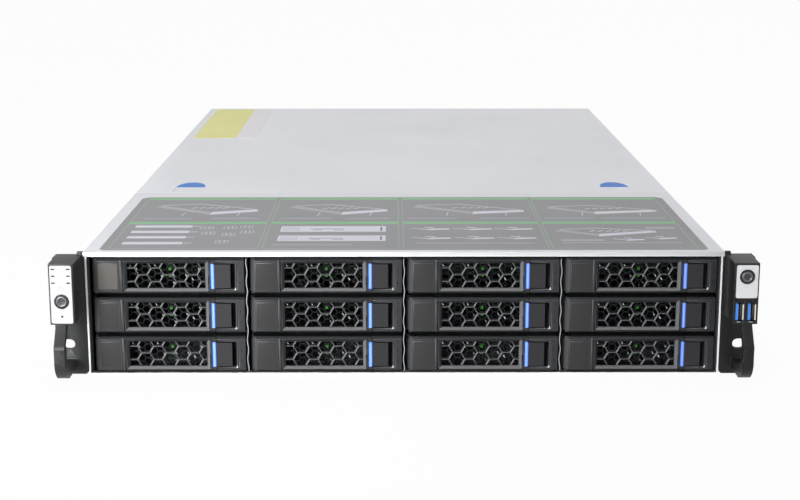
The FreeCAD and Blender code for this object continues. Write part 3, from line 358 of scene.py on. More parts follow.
def latch_strip():
    """Blue translucent strip, painted deeper blue along its edges round a paler middle: a painted
    sheen of light through the strip.
    """
    skin = Paint("ReleaseStripBlue", colours().strip, 0.28, 0.0, coat_weight=0.4)
    side = skin.axis("X", "Generated")
    # Painted sheen: the middle stays pale and the edges go deeper blue.
    edge = (side - 0.5) * (side - 0.5) * 4
    skin.tint(edge.between(0.05, 0.6), tone(38, 84, 196))
    skin.feed("Roughness", 0.24 + skin.noise(1.5) * 0.1)
    return skin.relief(skin.noise(0.6), 0.006)


def glow(name, colour, strength):
    """A small lamp lens."""
    lens = Paint(name, colour, 0.25, 0.0, emission_strength=strength)
    lens.feed("Emission Color", lens.mix(lens.noise(0.5) * 0.3, colour, WHITE))
    return lens


FINISHES = {
    "cover": coated_cover,
    "zinc": folded_sheet,
    "screen": lambda: zinc("BayScreen", tone(34, 35, 37), 3.0),
    # Painted glints: bright bits put where edges catch the light.
    "glint": lambda: bright_metal("PaintedGlints", tone(236, 238, 242), 0.22),
    "screw": lambda: bright_metal("ScrewSteel", tone(176, 178, 182), 0.26),
    "bay_green": lambda: film("BayGreen", tone(52, 108, 44), 0.4),
    # Painted shade: the drive cage is painted near black because it sits in shadow beside the
    # bezels.
    "zinc_in_shade": lambda: zinc("CageZincInShade", tone(44, 45, 47), 7.0),
    "slot_zinc": lambda: zinc("SlotCoverZinc", tone(176, 178, 182), 5.0),
    "bezel": lambda: moulded("BezelPlastic", colours().bezel, 0.4),
    # Painted highlights: paler plastic on bezel edges, top edge and window sill where the light
    # catches them.
    "bezel_edge_highlight": lambda: moulded("BezelEdgeHighlight", tone(56, 57, 59), 0.36, 0.45, 0.008),
    "bezel_top_highlight": lambda: moulded("BezelTopHighlight", tone(96, 97, 100), 0.32, 0.45, 0.008),
    "sill_highlight": lambda: moulded("WindowSillHighlight", tone(94, 94, 96), 0.32, 0.45, 0.008),
    # Painted highlight on the left ear's rounded edges.
    "ear_edge_highlight": lambda: moulded("EarEdgeHighlight", tone(50, 51, 52), 0.36, 0.45, 0.008),
    "carrier": lambda: moulded("CarrierPlastic", colours().bezel, 0.44),
    # Painted shade: near-black plastic put in hollows, seams, slots and holes.
    "recess": lambda: moulded("RecessShadePlastic", tone(10, 10, 11), 0.6, gloss=0.1),
    "latch": lambda: moulded("LatchPlastic", tone(28, 28, 31), 0.4, 0.4, 0.015),
    "pad": lambda: film("LabelPad", tone(50, 50, 50), 0.4),
    # Painted light: the paler pad is the top left bay's, where the side lamp falls.
    "pad_lit": lambda: film("LabelPadLit", tone(84, 81, 78), 0.4),
    "strip": latch_strip,
    "mesh": lambda: moulded("HoneycombPlastic", tone(74, 75, 77), 0.36, 0.4, 0.012),
    # Painted highlight: the webs that face the light are paler.
    "mesh_lit": lambda: moulded("HoneycombPaintedHighlight", tone(112, 113, 115), 0.34, 0.4, 0.012),
    "ear": lambda: moulded("EarPlastic", colours().ear, 0.45),
    # Painted shade: the right ear is painted darker because it gets less of the side light.
    "ear_in_shade": lambda: moulded("EarPlasticInShade", shade(0.42, colours().ear), 0.4, gloss=0.26),
    "plate": panel_skin,
    "dash": lambda: film("LampDash", tone(44, 45, 47), 0.3),
    "ring_mark": lambda: film("PowerRing", tone(150, 151, 153), 0.34),
    "button_rim": lambda: bright_metal("ButtonRim", tone(104, 104, 106), 0.34),
    "button_face": lambda: moulded("ButtonFace", tone(50, 51, 52), 0.42, 0.3, 0.01),
    "port_steel": lambda: zinc("PortSteel", tone(64, 66, 70), 2.0),
    "port_edge": lambda: bright_metal("PortEdge", tone(196, 197, 200), 0.26),
    "port_pale": lambda: film("PortContacts", tone(226, 212, 196), 0.32),
    "black": lambda: moulded("BlackPlastic", tone(26, 27, 29), 0.34, 0.4, 0.01),
    "chrome": lambda: bright_metal("BrightMetal", tone(214, 215, 218), 0.24),
    "port_blue": lambda: moulded("PortBlue", tone(70, 132, 224), 0.36, 0.3, 0.006),
    "label": lambda: film("CoverLabel", colours().label),
    "label_pale": lambda: film("LabelPale", tone(214, 214, 224)),
    "label_green": lambda: film("LabelGreen", tone(140, 188, 146)),
    "label_line": lambda: film("LabelLine", tone(200, 202, 208)),
    "label_mid": lambda: film("LabelMid", tone(172, 174, 180)),
    "label_dark": lambda: film("LabelDark", tone(104, 106, 112)),
    "label_edge": lambda: film("LabelEdge", tone(158, 178, 158)),
    "yellow": lambda: film("YellowSticker", tone(232, 229, 158)),
    "white": lambda: film("WhiteSticker", tone(234, 232, 236)),
    "touch": lambda: film("TouchPointBlue", tone(64, 120, 200), 0.4),
    "green_board": lambda: solder_mask("GreenBoard", colours().board),
    "memory_board": lambda: solder_mask("MemoryBoard", tone(22, 78, 48)),
    "fin": lambda: bright_metal("HeatsinkFins", tone(202, 204, 208), 0.32, DRAWN),
    "fan": lambda: moulded("FanPlastic", tone(34, 35, 38), 0.42),
    "rotor": lambda: moulded("RotorPlastic", tone(48, 49, 52), 0.38),
    "psu": lambda: zinc("PsuCase", tone(168, 170, 174), 6.0),
    "tab": lambda: moulded("LatchTab", tone(150, 40, 52), 0.4),
    "gold": lambda: bright_metal("GoldContacts", tone(214, 178, 96), 0.28),
    "chip": lambda: moulded("ChipBody", tone(36, 37, 40), 0.5, 0.3, 0.01),
    "coil": lambda: moulded("CoilCase", tone(70, 72, 76), 0.4, 0.3, 0.01),
    "can": lambda: bright_metal("CapacitorCans", tone(190, 193, 198), 0.3),
    "tan": lambda: moulded("CeramicParts", tone(150, 122, 88), 0.4, 0.3, 0.004),
    "spring": lambda: bright_metal("SpringSteel", tone(196, 198, 202), 0.3),
    "yellow_lamp": lambda: glow("LampAmber", tone(236, 190, 84), 0.3),
    "lamp_green": lambda: glow("LampGreen", tone(96, 226, 120), 0.8),
}


# ---------------------------------------------------------------------------------------------
# Mesh code
# ---------------------------------------------------------------------------------------------

# From these angles on an edge is rounded, and is shaded as a crease.
SHARP = math.radians(28)
CREASE = math.radians(32)


def across_axis(axis, level, one, two):
    """A point at a level along an axis; its other two numbers are in the other axes' order."""
    point = [one, two]
    point.insert("XYZ".index(axis), level)
    return point


class Piece:
    """A mesh in the making, in millimetres."""

    def __init__(self):
        self.mesh = bmesh.new()
        self.finishes = []

    def finish_index(self, finish):
        """The number of a finish in this mesh, which gets it if it hasn't got it yet."""
        if finish not in self.finishes:
            self.finishes.append(finish)
        return self.finishes.index(finish)

    def prism(self, finish, outline, start, end, axis="Z"):
        """An outline drawn out along an axis; gives back its edges."""
        front, back = [[self.mesh.verts.new(across_axis(axis, level, *spot)) for spot in outline]
                       for level in (start, end)]
        faces = [self.mesh.faces.new(front), self.mesh.faces.new(back)]
        for index in range(len(outline)):
            after = (index + 1) % len(outline)
            faces.append(self.mesh.faces.new((front[index], front[after],
                                              back[after], back[index])))
        for face in faces:
            face.material_index = self.finish_index(finish)
        return list({edge for face in faces for edge in face.edges})

    def plate(self, finish, outline, holes, start, end):
        """An upright sheet with holes through it, from one depth to another."""
        edges = []
        for loop in [outline, *holes]:
            ring = [self.mesh.verts.new(across_axis("Y", start, *spot)) for spot in loop]
            edges += [self.mesh.edges.new(pair) for pair in zip(ring, ring[1:] + ring[:1])]
        made = bmesh.ops.triangle_fill(self.mesh, use_beauty=True, use_dissolve=False,
                                       edges=edges, normal=[0, 0, 0])
        faces = [item for item in made["geom"] if isinstance(item, bmesh.types.BMFace)]
        for face in faces:
            face.material_index = self.finish_index(finish)
        drawn = bmesh.ops.extrude_face_region(self.mesh, geom=faces, use_keep_orig=True)
        fresh = [item for item in drawn["geom"] if isinstance(item, bmesh.types.BMVert)]
        bmesh.ops.translate(self.mesh, vec=(0.0, end - start, 0.0), verts=fresh)

    def box(self, finish, start, end):
        """A block between two corners."""
        outline = [(start[0], start[1]), (end[0], start[1]), (end[0], end[1]), (start[0], end[1])]
        return self.prism(finish, outline, start[2], end[2])

    def lathe(self, finish, centre, profile, axis="Y", steps=40):
        """A turned piece: profile points are (distance along the axis, radius)."""
        first = "XYZ".index(axis)
        second, third = (first + 1) % 3, (first + 2) % 3
        rings = []
        for along, radius in profile:
            ring = []
            for step in range(steps if radius > 0 else 1):
                turn = 2 * math.pi * step / steps
                spot = [0.0, 0.0, 0.0]
                spot[first] = centre[first] + along
                spot[second] = centre[second] + radius * math.cos(turn)
                spot[third] = centre[third] + radius * math.sin(turn)
                ring.append(self.mesh.verts.new(spot))
            rings.append(ring)
        for one, two in zip(rings, rings[1:]):
            for step in range(steps):
                after = (step + 1) % steps
                corners = [one[step % len(one)], one[after % len(one)],
                           two[after % len(two)], two[step % len(two)]]
                corners = list(dict.fromkeys(corners))
                if len(corners) > 2:
                    face = self.mesh.faces.new(corners)
                    face.material_index = self.finish_index(finish)

    def wire(self, finish, centre, radius, half, start, end, steps=40):
        """A ring of flat wire that reaches half its width to both sides of its radius."""
        self.lathe(finish, centre, [(start, radius - half), (start, radius + half),
                                    (end, radius + half), (end, radius - half),
                                    (start, radius - half)], steps=steps)

    def take(self, finish, node, away=(0.0, 0.0, 0.0), without=None):
        """The faces of a CAD node, moved so that a point of it comes to the middle."""
        start = len(self.mesh.verts)
        self.mesh.from_mesh(NODES[node].data)
        self.mesh.verts.ensure_lookup_table()
        fresh = self.mesh.verts[start:]
        for vertex in fresh:
            vertex.co = vertex.co / MM - Vector(away)
        bmesh.ops.remove_doubles(self.mesh, verts=fresh, dist=0.004)
        if without:
            gone = [face for face in self.mesh.faces if without(face.calc_center_median())]
            bmesh.ops.delete(self.mesh, geom=gone, context="FACES")
        for face in self.mesh.faces:
            face.material_index = self.finish_index(finish)

    def soften(self, width, segments=2, shortest=1.5, edges=None, keep=None, finish=None):
        """Rounds the sharp edges that are long enough; the round may have its own finish."""
        chosen = []
        for edge in edges or self.mesh.edges:
            if not edge.is_valid or len(edge.link_faces) != 2:
                continue
            if edge.calc_face_angle() < SHARP or edge.calc_length() < shortest:
                continue
            if keep and not keep(edge):
                continue
            chosen.append(edge)
        bmesh.ops.bevel(self.mesh, geom=chosen, offset=width, segments=segments, profile=0.6,
                        affect="EDGES", clamp_overlap=False,
                        material=-1 if finish is None else self.finish_index(finish))

    def trim(self, point, outwards):
        """Cuts off what lies outwards of a plane, and closes the cut."""
        everything = [*self.mesh.verts, *self.mesh.edges, *self.mesh.faces]
        cut = bmesh.ops.bisect_plane(self.mesh, geom=everything, plane_co=point, plane_no=outwards,
                                     clear_outer=True)["geom_cut"]
        edges = [part for part in cut if isinstance(part, bmesh.types.BMEdge)]
        if edges:
            bmesh.ops.contextual_create(self.mesh, geom=edges)

    def repaint(self, finish, test):
        """Gives the faces that pass a test another finish."""
        index = self.finish_index(finish)
        for face in self.mesh.faces:
            if test(face.calc_center_median(), face.normal):
                face.material_index = index

    def done(self, name):
        """The finished mesh, in metres."""
        bmesh.ops.recalc_face_normals(self.mesh, faces=self.mesh.faces)
        bmesh.ops.scale(self.mesh, vec=(MM, MM, MM), verts=self.mesh.verts)
        mesh = bpy.data.meshes.new(name)
        self.mesh.to_mesh(mesh)
        self.mesh.free()
        for finish in self.finishes:
            mesh.materials.append(paint(finish))
        mesh.shade_smooth()
        mesh.set_sharp_from_angle(angle=CREASE)
        return mesh

    def ride(self, name, body, slot, stands_for=()):
        """Makes the mesh one piece that rides on a body, in its own place."""
        return add(self.done(name), name, body, stands_for=stands_for)


def add(mesh, name, body, at=(0.0, 0.0, 0.0), stands_for=()):
    """A piece that shows a mesh, rides on a body and may replace CAD nodes."""
    piece = bpy.data.objects.new(name, mesh)
    piece.location = Vector(at) * MM
    bpy.context.scene.collection.objects.link(piece)
    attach(piece, body)
    if stands_for:
        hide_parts(*stands_for)
    return piece


def dress(node, finish):
    """Gives a CAD node that stays another finish."""
    target = NODES[node]
    if not target.material_slots:
        target.data.materials.append(paint(finish))
    for place in target.material_slots:
        place.material = paint(finish)


def heading(turn, length, middle=(0.0, 0.0)):
    """The point at a distance from a middle, in a direction in degrees."""
    turn = math.radians(turn)
    return (middle[0] + length * math.cos(turn), middle[1] + length * math.sin(turn))


def rounded(left, right, front, back, radius, steps=6):
    """The outline of a rectangle with round corners."""
    corners = ((right - radius, back - radius), (left + radius, back - radius),
               (left + radius, front + radius), (right - radius, front + radius))
    return [heading(90 * (number + step / steps), radius, corner)
            for number, corner in enumerate(corners) for step in range(steps + 1)]


def ring_of(centre, radius, steps=32):
    """The outline of a circle."""
    return [heading(360 * step / steps, radius, centre) for step in range(steps)]


def stroke(one, two, width):
    """The outline of a straight line of some width."""
    along = Vector((two[0] - one[0], two[1] - one[1]))
    side = Vector((-along.y, along.x)).normalized() * width / 2
    return [(one[0] + side.x, one[1] + side.y), (one[0] - side.x, one[1] - side.y),
            (two[0] - side.x, two[1] - side.y), (two[0] + side.x, two[1] + side.y)]


def clipped(one, two, left, right, bottom, top):
    """The stretch of a straight line that lies in a window, or None."""
    start, end = 0.0, 1.0
    step = (two[0] - one[0], two[1] - one[1])
    for slope, room in ((-step[0], one[0] - left), (step[0], right - one[0]),
                        (-step[1], one[1] - bottom), (step[1], top - one[1])):
        if abs(slope) < 1e-9:
            if room < 0:
                return None
            continue
        if slope < 0:
            start = max(start, room / slope)
        else:
            end = min(end, room / slope)
    if end - start < 0.02:
        return None
    return [(one[0] + step[0] * part, one[1] + step[1] * part) for part in (start, end)]


# ---------------------------------------------------------------------------------------------
# Values that a user would change
# ---------------------------------------------------------------------------------------------

def colour_value(name, description, default):
    """A colour that the sidebar shows."""
    return FloatVectorProperty(name=name, description=description, subtype="COLOR", size=3,
                               min=0.0, max=1.0, default=default)


class RackFinishes(bpy.types.PropertyGroup):
    """Colours of the server's main finishes."""
    cover: colour_value("Cover", "Powder coat of the two covers", tone(219, 220, 225))
    sheet: colour_value("Sheet", "Zinc of the chassis sheet", tone(186, 188, 192))
    bezel: colour_value("Bezel", "Plastic of the carriers and levers", tone(31, 32, 34))
    strip: colour_value("Strip", "Strip of the release buttons", tone(128, 170, 248))
    ear: colour_value("Ear", "Plastic of the rack ears and handles", tone(30, 31, 32))
    label: colour_value("Label", "Film of the cover label", tone(150, 150, 153))
    board: colour_value("Board", "Lacquer of the main board", tone(24, 92, 60))


class RackDetails(bpy.types.PropertyGroup):
    """Sizes of the fine work."""
    edge: FloatProperty(name="Edge", description="Rounding of moulded edges", default=0.3 * MM,
                        subtype="DISTANCE", unit="LENGTH")
    film: FloatProperty(name="Film", description="Thickness of labels", default=0.1 * MM,
                        subtype="DISTANCE", unit="LENGTH")
    chips: IntProperty(name="Chips", description="Rows of small parts on the main board",
                       default=90)


class RackStudio(bpy.types.PropertyGroup):
    """Camera and light."""
    lens: FloatProperty(name="Lens", description="Focal length", default=66.36, unit="CAMERA")
    key: FloatProperty(name="Key light", description="Strength of the overhead light", default=15.0,
                       unit="POWER")
    side: FloatProperty(name="Side light", description="Strength of the light at the left front",
                        default=3.3, unit="POWER")
    sky: FloatProperty(name="Surround", description="Strength of the even surrounding light",
                       default=0.5)


# ---------------------------------------------------------------------------------------------
# Stage
# ---------------------------------------------------------------------------------------------

# Lamps and camera, in metres and, for the camera's angles, radians.
KEY_LAMP = {"at": (0.2, -0.3, 2.4), "towards": (0.0, 0.3, 0.0), "width": 3.4, "spread": 180}
SIDE_LAMP = {"at": (-0.75, -1.1, 0.25), "towards": (-0.27, 0.0, 0.04), "width": 0.6, "spread": 52}
CAMERA_AT = (-0.00648, -0.9835, 0.3198)
CAMERA_DOWN, CAMERA_ROUND = 0.2061, -0.0038
CAMERA_SHIFT = -0.045
FLOOR_REACH, FLOOR_DEPTH, FLOOR_GAP = 9000, 40, 0.3
FLOOR_LIGHT = 0.95


class RACK_OT_stage(bpy.types.Operator):
    """Pale floor, soft studio light and the camera"""
    bl_idname = "rack.stage"
    bl_label = "Stage"

    def execute(self, context):
        studio = context.scene.rack_studio
        self.floor()
        self.surround(context.scene, studio.sky)
        self.lamp("KeyLight", studio.key, **KEY_LAMP)
        self.lamp("SideLight", studio.side, **SIDE_LAMP)
        camera = bpy.data.cameras.new("Camera")
        camera.lens = studio.lens
        camera.sensor_width = 36.0
        camera.shift_y = CAMERA_SHIFT
        camera.clip_start = 0.02
        viewer = bpy.data.objects.new("Camera", camera)
        viewer.location = CAMERA_AT
        viewer.rotation_euler = (math.pi / 2 - CAMERA_DOWN, 0.0, CAMERA_ROUND)
        context.scene.collection.objects.link(viewer)
        context.scene.camera = viewer
        context.scene.view_settings.view_transform = "Standard"
        return {"FINISHED"}

    def floor(self):
        """A wide pale floor that keeps a faint shadow."""
        ground = Paint("FloorPale", (0.93, 0.93, 0.93), 0.9)
        ground.feed("Roughness", 0.85 + ground.noise(400.0) * 0.1)
        shine = ground.node("ShaderNodeEmission", None, {"Color": full(WHITE), "Strength": 1.0})
        seen = self.seen(ground.node)
        blend = ground.node("ShaderNodeMixShader", None, {
            0: seen * FLOOR_LIGHT, 1: Signal(ground, ground.shader.outputs[0]), 2: shine})
        ground.join(ground.output.inputs["Surface"], blend)
        slab = Piece()
        slab.finishes.append("floor")
        PAINTS["floor"] = ground
        slab.box("floor", (-FLOOR_REACH, -FLOOR_REACH, -FLOOR_DEPTH),
                 (FLOOR_REACH, FLOOR_REACH, CAD_BOX[0].z / MM - FLOOR_GAP))
        floor = bpy.data.objects.new("Floor", slab.done("Floor"))
        bpy.context.scene.collection.objects.link(floor)
        floor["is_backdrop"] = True

    def seen(self, node):
        """Whether a ray comes from the camera, or straight on through gloss or glass."""
        rays = [node("ShaderNodeLightPath", None, None, name)
                for name in ("Is Camera Ray", "Is Glossy Ray", "Is Transmission Ray")]
        return rays[0].maths("MINIMUM", rays[0] + rays[1] + rays[2], 1.0)

    def surround(self, scene, strength):
        """Even light from all round, which the camera sees as white."""
        world = bpy.data.worlds.new("Surround")
        world.use_nodes = True
        world.node_tree.nodes.clear()
        tools = Paint.__new__(Paint)
        tools.tree = world.node_tree
        seen = self.seen(tools.node)
        level = seen * (1.0 - strength) + strength
        sky = tools.node("ShaderNodeBackground", None, {"Color": full(WHITE), "Strength": level})
        tools.node("ShaderNodeOutputWorld", None, {"Surface": sky}, None)
        scene.world = world

    def lamp(self, name, power, at, towards, width, spread):
        """A square soft light that faces a point; its spread is in degrees."""
        light = bpy.data.lights.new(name, "AREA")
        light.shape = "SQUARE"
        light.size = width
        light.energy = power
        light.spread = math.radians(spread)
        holder = bpy.data.objects.new(name, light)
        holder.location = at
        holder.rotation_euler = (Vector(towards) - Vector(at)).to_track_quat("-Z", "Y").to_euler()
        bpy.context.scene.collection.objects.link(holder)


# ---------------------------------------------------------------------------------------------
# Covers and their labels
# ---------------------------------------------------------------------------------------------

class RACK_OT_covers(bpy.types.Operator):
    """The two covers, with soft folds"""
    bl_idname = "rack.covers"
    bl_label = "Covers"

    def execute(self, context):
        for node, body in (("front_cover", "chassis"), ("rear_cover", "rear_cover")):
            piece = Piece()
            piece.take("cover", node)
            piece.soften(0.35, 3, 3.0)
            piece.ride(node + "_sheet", body, "cover_steel", [node])
        return {"FINISHED"}


LABEL_OUTLINE = [(-210.5, 9.0), (-207.5, 6.0), (207.5, 6.0), (210.5, 9.0), (210.5, 189.0),
                 (205.5, 194.0), (-205.5, 194.0), (-210.5, 189.0)]
INK = 0.03
COLUMNS = [(-204.5, -101.5), (-98.5, -3.5), (-0.3, 101.0), (103.5, 203.8)]
PANELS = [(187.0, 97.0), (95.0, 12.0)]
REAR_SKETCHES = [((-193.9, 154.0), (-148.5, 126.5), (-112.4, 138.2), 7.4),
                 ((-88.4, 152.0), (-47.4, 126.2), (-11.8, 138.4), 7.2),
                 ((7.4, 154.0), (53.4, 128.2), (94.2, 136.0), 6.8),
                 ((111.6, 149.0), (147.6, 127.8), (197.4, 136.4), 6.4)]
REAR_BAR_Y = 111.5
MODULE_BARS = (24.0, 42.8, 60.6, 79.0)
CONNECTORS = ((-149.0, 74.0), (-132.0, 75.0), (-120.0, 77.0), (-146.0, 56.0),
              (-131.0, 52.0), (-118.0, 60.0), (-133.0, 28.0))
TRAY_PLANS = ((64.2, 83.4), (34.3, 51.8))


class RACK_OT_cover_label(bpy.types.Operator):
    """The printed film on the front cover, with generic panels and no lettering"""
    bl_idname = "rack.cover_label"
    bl_label = "Cover label"

    def execute(self, context):
        self.top = high("front_cover").z
        self.skin = context.scene.rack_details.film / MM
        self.label = Piece()
        self.label.prism("label", LABEL_OUTLINE, self.top, self.top + self.skin)
        sketches = (self.modules_and_connectors, self.trays, self.drawers, self.last_steps)
        for (left, right), rear, sketch in zip(COLUMNS, REAR_SKETCHES, sketches):
            for far, near in PANELS:
                self.line("label_green", (left, far), (right, far), 7.6)
                for across in (left, right):
                    self.line("label_edge", (across, near), (across, far - 1.0), 0.6)
            self.line("label_edge", (left, 11.0), (right, 11.0), 0.5)
            self.rear_sketch(*rear)
            sketch()
        self.label.ride("cover_label", "chassis", "cover_steel")
        return {"FINISHED"}

    def patch(self, finish, outline):
        """A printed patch on the film."""
        self.label.prism(finish, outline, self.top + self.skin, self.top + self.skin + INK)

    def line(self, finish, one, two, width):
        """A printed line."""
        self.patch(finish, stroke(one, two, width))

    def overprint(self, finish, one, two, width):
        """A line that is printed over a patch."""
        height = self.top + self.skin + INK
        self.label.prism(finish, stroke(one, two, width), height, height + 0.02)

    def rear_sketch(self, start, turn, end, rise):
        """A server seen from a corner on its legs, over two caption bars."""
        self.server(start, turn, end, rise)
        for left, right in ((start[0] - 4.0, start[0] + 34.0), (turn[0] + 4.0, end[0] + 2.0)):
            self.line("label_mid", (left, REAR_BAR_Y), (right, REAR_BAR_Y), 2.2)
        for share in (0.3, 0.82):
            leg = start[0] + (end[0] - start[0]) * share
            self.line("label_line", (leg, turn[1] - 7.0), (leg + 1.5, turn[1] + 7.0), 0.8)

    def modules_and_connectors(self):
        """Four memory modules side by side, and small connectors next to them."""
        for near in MODULE_BARS:
            self.patch("label_pale", rounded(-198.0, -155.5, near, near + 7.4, 2.0))
            self.patch("label_mid", rounded(-155.0, -149.5, near + 2.0, near + 6.0, 1.0))
        for left, near in CONNECTORS:
            self.connector(left, near, left + 9.0, near + 8.0)

    def trays(self):
        """Two trays from above, and a caption bar."""
        for near, far in TRAY_PLANS:
            self.tray_plan(-89.8, -12.8, near, far)
        self.line("label_mid", (-92.0, 22.5), (-36.0, 22.5), 2.4)

    def drawers(self):
        """Six open drawers, and a caption bar."""
        for left in (5.6, 36.8, 66.8):
            for near in (38.8, 69.0):
                self.drawer(left, near, 28.5)
        self.line("label_mid", (9.0, 27.0), (92.0, 27.0), 2.4)

    def last_steps(self):
        """One more server with two drawers, among caption bars."""
        self.server((110.7, 66.4), (140.2, 49.7), (184.2, 62.6), 5.5)
        self.drawer(149.4, 33.6, 22.0)
        self.drawer(172.5, 38.2, 23.0)
        self.patch("label_mid", rounded(178.0, 199.6, 73.0, 80.0, 0.8))
        self.line("label_mid", (112.0, 28.0), (196.0, 28.0), 2.4)
        self.line("label_mid", (112.0, 36.0), (142.0, 36.0), 6.0)

    def server(self, start, turn, end, rise):
        """A server seen from a corner: a long shaded side, a bright front and a pale top."""
        shoulder = (start[0] + 4.0, start[1] + rise * 0.9)
        self.patch("label_mid", [start, turn, (turn[0] + 1.0, turn[1] + rise), shoulder])
        self.patch("label_pale", [(turn[0], turn[1] - 1.5), (end[0], end[1] - 1.0),
                                  (end[0] - 0.6, end[1] + rise),
                                  (turn[0] + 1.0, turn[1] + rise * 1.2)])
        back = (start[0] + (end[0] - start[0]) * 0.42, start[1] + rise * 1.7)
        self.line("label_line", shoulder, back, 1.5)
        self.line("label_line", back, (end[0] - 0.6, end[1] + rise * 0.8), 1.5)
        left = (start[0] + end[0]) / 2 - 12.0
        level = (turn[1] + back[1]) / 2 + rise * 0.6
        for step in range(5):
            across = left + step * 6.0
            self.line("label_line", (across, level - 2.0), (across + 4.5, level + 2.0), 1.6)

    def drawer(self, left, near, width):
        """A small sketch of an open drawer."""
        for step in range(4):
            across = left + width * step / 8
            self.line("label_line", (across, near + 6.4 - step),
                      (across + width / 10, near + 7.4 - step), 1.0)
        self.patch("label_pale", [(left + width * 0.4, near + 0.4), (left + width, near + 3.0),
                                  (left + width * 0.97, near + 6.2),
                                  (left + width * 0.5, near + 5.6)])
        self.line("label_line", (left, near + 7.0), (left + width * 0.45, near + 1.8), 1.6)
        self.line("label_line", (left + width * 0.35, near + 9.5),
                  (left + width * 0.6, near + 9.0), 2.4)

    def connector(self, left, near, right, far):
        """A small connector: an outline with two bars in it."""
        corners = ((left, near), (right, near), (right, far), (left, far))
        for one, two in zip(corners, corners[1:] + corners[:1]):
            self.line("label_line", one, two, 0.5)
        for share in (0.35, 0.7):
            across = left + (right - left) * share
            self.line("label_line", (across, near + 1.5), (across, far - 1.5), 0.9)

    def tray_plan(self, left, right, near, far):
        """A tray from above: a pale strip with a hatched end and a dark channel."""
        self.patch("label_pale", rounded(left, right, near, far, 1.0))
        middle = (near + far) / 2
        third = left + (right - left) * 0.28
        for step in range(8):
            across = left + 2.0 + step * 1.6
            self.overprint("label_mid", (across, near + 2.5), (across, far - 2.5), 0.5)
        for one, two in (((third, middle), (right - 31.0, middle)),
                         ((third + 2.0, middle - 3.4), (third + 9.0, middle - 3.4)),
                         ((right - 38.0, middle - 4.0), (right - 30.0, middle - 4.0)),
                         ((right - 3.4, near + 3.0), (right - 3.4, far - 3.0))):
            self.overprint("label_dark", one, two, 1.2)


TOUCH_POINTS = ((-190.4, -166.0), (167.0, 190.8))
TOUCH_NEAR, TOUCH_REACH = 238.0, 22.0
STICKERS = (("yellow", -212.0, -168.5), ("white", -168.5, -148.5))
STICKER_Y = (507.0, 722.0)
STICKER_THICK = 0.1


class RACK_OT_cover_marks(bpy.types.Operator):
    """Touch points and stickers on the rear cover"""
    bl_idname = "rack.cover_marks"
    bl_label = "Cover marks"

    def execute(self, context):
        top = high("rear_cover").z
        marks = Piece()
        outlines = [("touch", self.half_moon(left, right)) for left, right in TOUCH_POINTS]
        outlines += [(finish, rounded(left, right, *STICKER_Y, 1.5))
                     for finish, left, right in STICKERS]
        for finish, outline in outlines:
            marks.prism(finish, outline, top, top + STICKER_THICK)
        marks.ride("cover_marks", "rear_cover", "cover_steel")
        return {"FINISHED"}

    def half_moon(self, left, right):
        """The outline of a touch point, from one side of it to the other."""
        middle = (left + right) / 2
        half = (right - left) / 2
        turns = [math.radians(turn) for turn in range(0, 181, 10)]
        return [(middle + half * math.cos(turn), TOUCH_NEAR + TOUCH_REACH * math.sin(turn))
                for turn in turns]


# ---------------------------------------------------------------------------------------------
# Drive bays
# ---------------------------------------------------------------------------------------------

BAYS = ["%02d" % number for number in range(1, 13)]

# Places in a bay are across from its middle, back from its bezel plane and up from its row.
# The lever's window (left, right, bottom, top) and its webs, as (depth, width).
WINDOW = (-28.05, 25.75, 3.8, 21.2)
WINDOW_BEVEL = 2.1
CELL_PITCH, CELL_STEP = 9.7, 8.6
FIRST_CELL = (10.8, 4.25)
WEB_BACK, WEB_FRONT = (3.8, 1.15), (2.6, 0.55)
# The steel screen, the share of its falling webs that get a painted glint, and the heights of the
# green spots behind it.
SCREEN = (-46.9, 30.5, 2.5, 22.5)
SCREEN_PITCH, SCREEN_STEP = 5.0, 4.33
GLINT_SHARE = 0.24
BAY_SPOTS = (9.4, 14.2, 18.6)
# Painted shadow in the seams and light pipe slots on the carrier's bezel, painted highlights on the
# edge of its hollow and its lower corner, and the button.
SEAM_SHADOWS = (((32.15, -0.03, 0.4), (32.5, 0.4, 3.4)), ((32.15, -0.03, 21.6), (32.5, 0.4, 24.5)),
              ((49.7, -0.02, 14.2), (50.15, 0.4, 15.9)), ((49.7, -0.02, 6.6), (50.15, 0.4, 8.9)))
RECESS_EDGE_HIGHLIGHT = [(46.5, 3.2), (47.3, 2.8), (47.3, 22.2), (46.5, 21.8)]
RECESS_CORNER_GLINT = [(45.4, 2.6), (47.2, 2.9), (46.9, 4.6), (46.4, 4.4), (46.3, 3.3)]
THUMB = ((32.4, 0.1, 4.1), (43.3, 2.1, 20.9))
THUMB_BACK = ((32.4, 1.6, 4.4), (38.3, 5.1, 20.6))
STRIP = ((29.6, -0.2, 3.7), (32.3, 5.1, 21.3))


def bay_corner(bay):
    """The middle of a bay's width, its bezel plane and its row's bottom."""
    start, end = low("carrier_" + bay), high("carrier_" + bay)
    return ((start.x + end.x) / 2, start.y, start.z)


def top_edge(edge):
    """Whether an edge runs along the top of a bezel's front."""
    return all(vertex.co.y < 0.1 and vertex.co.z > 24.9 for vertex in edge.verts)


def ahead_of(depth):
    """A test for edges that lie nearer the front than a depth."""
    return lambda edge: all(vertex.co.y < depth for vertex in edge.verts)


def soften_bezel(piece, depth, shortest):
    """Rounds a bezel's edges down to a depth; its top edge is the softer one. The rounds are
    painted paler, as painted highlights.
    """
    edge = bpy.context.scene.rack_details.edge / MM
    piece.soften(0.55, 2, 2.5, keep=top_edge, finish="bezel_top_highlight")
    piece.soften(edge, 2, shortest, keep=ahead_of(depth), finish="bezel_edge_highlight")


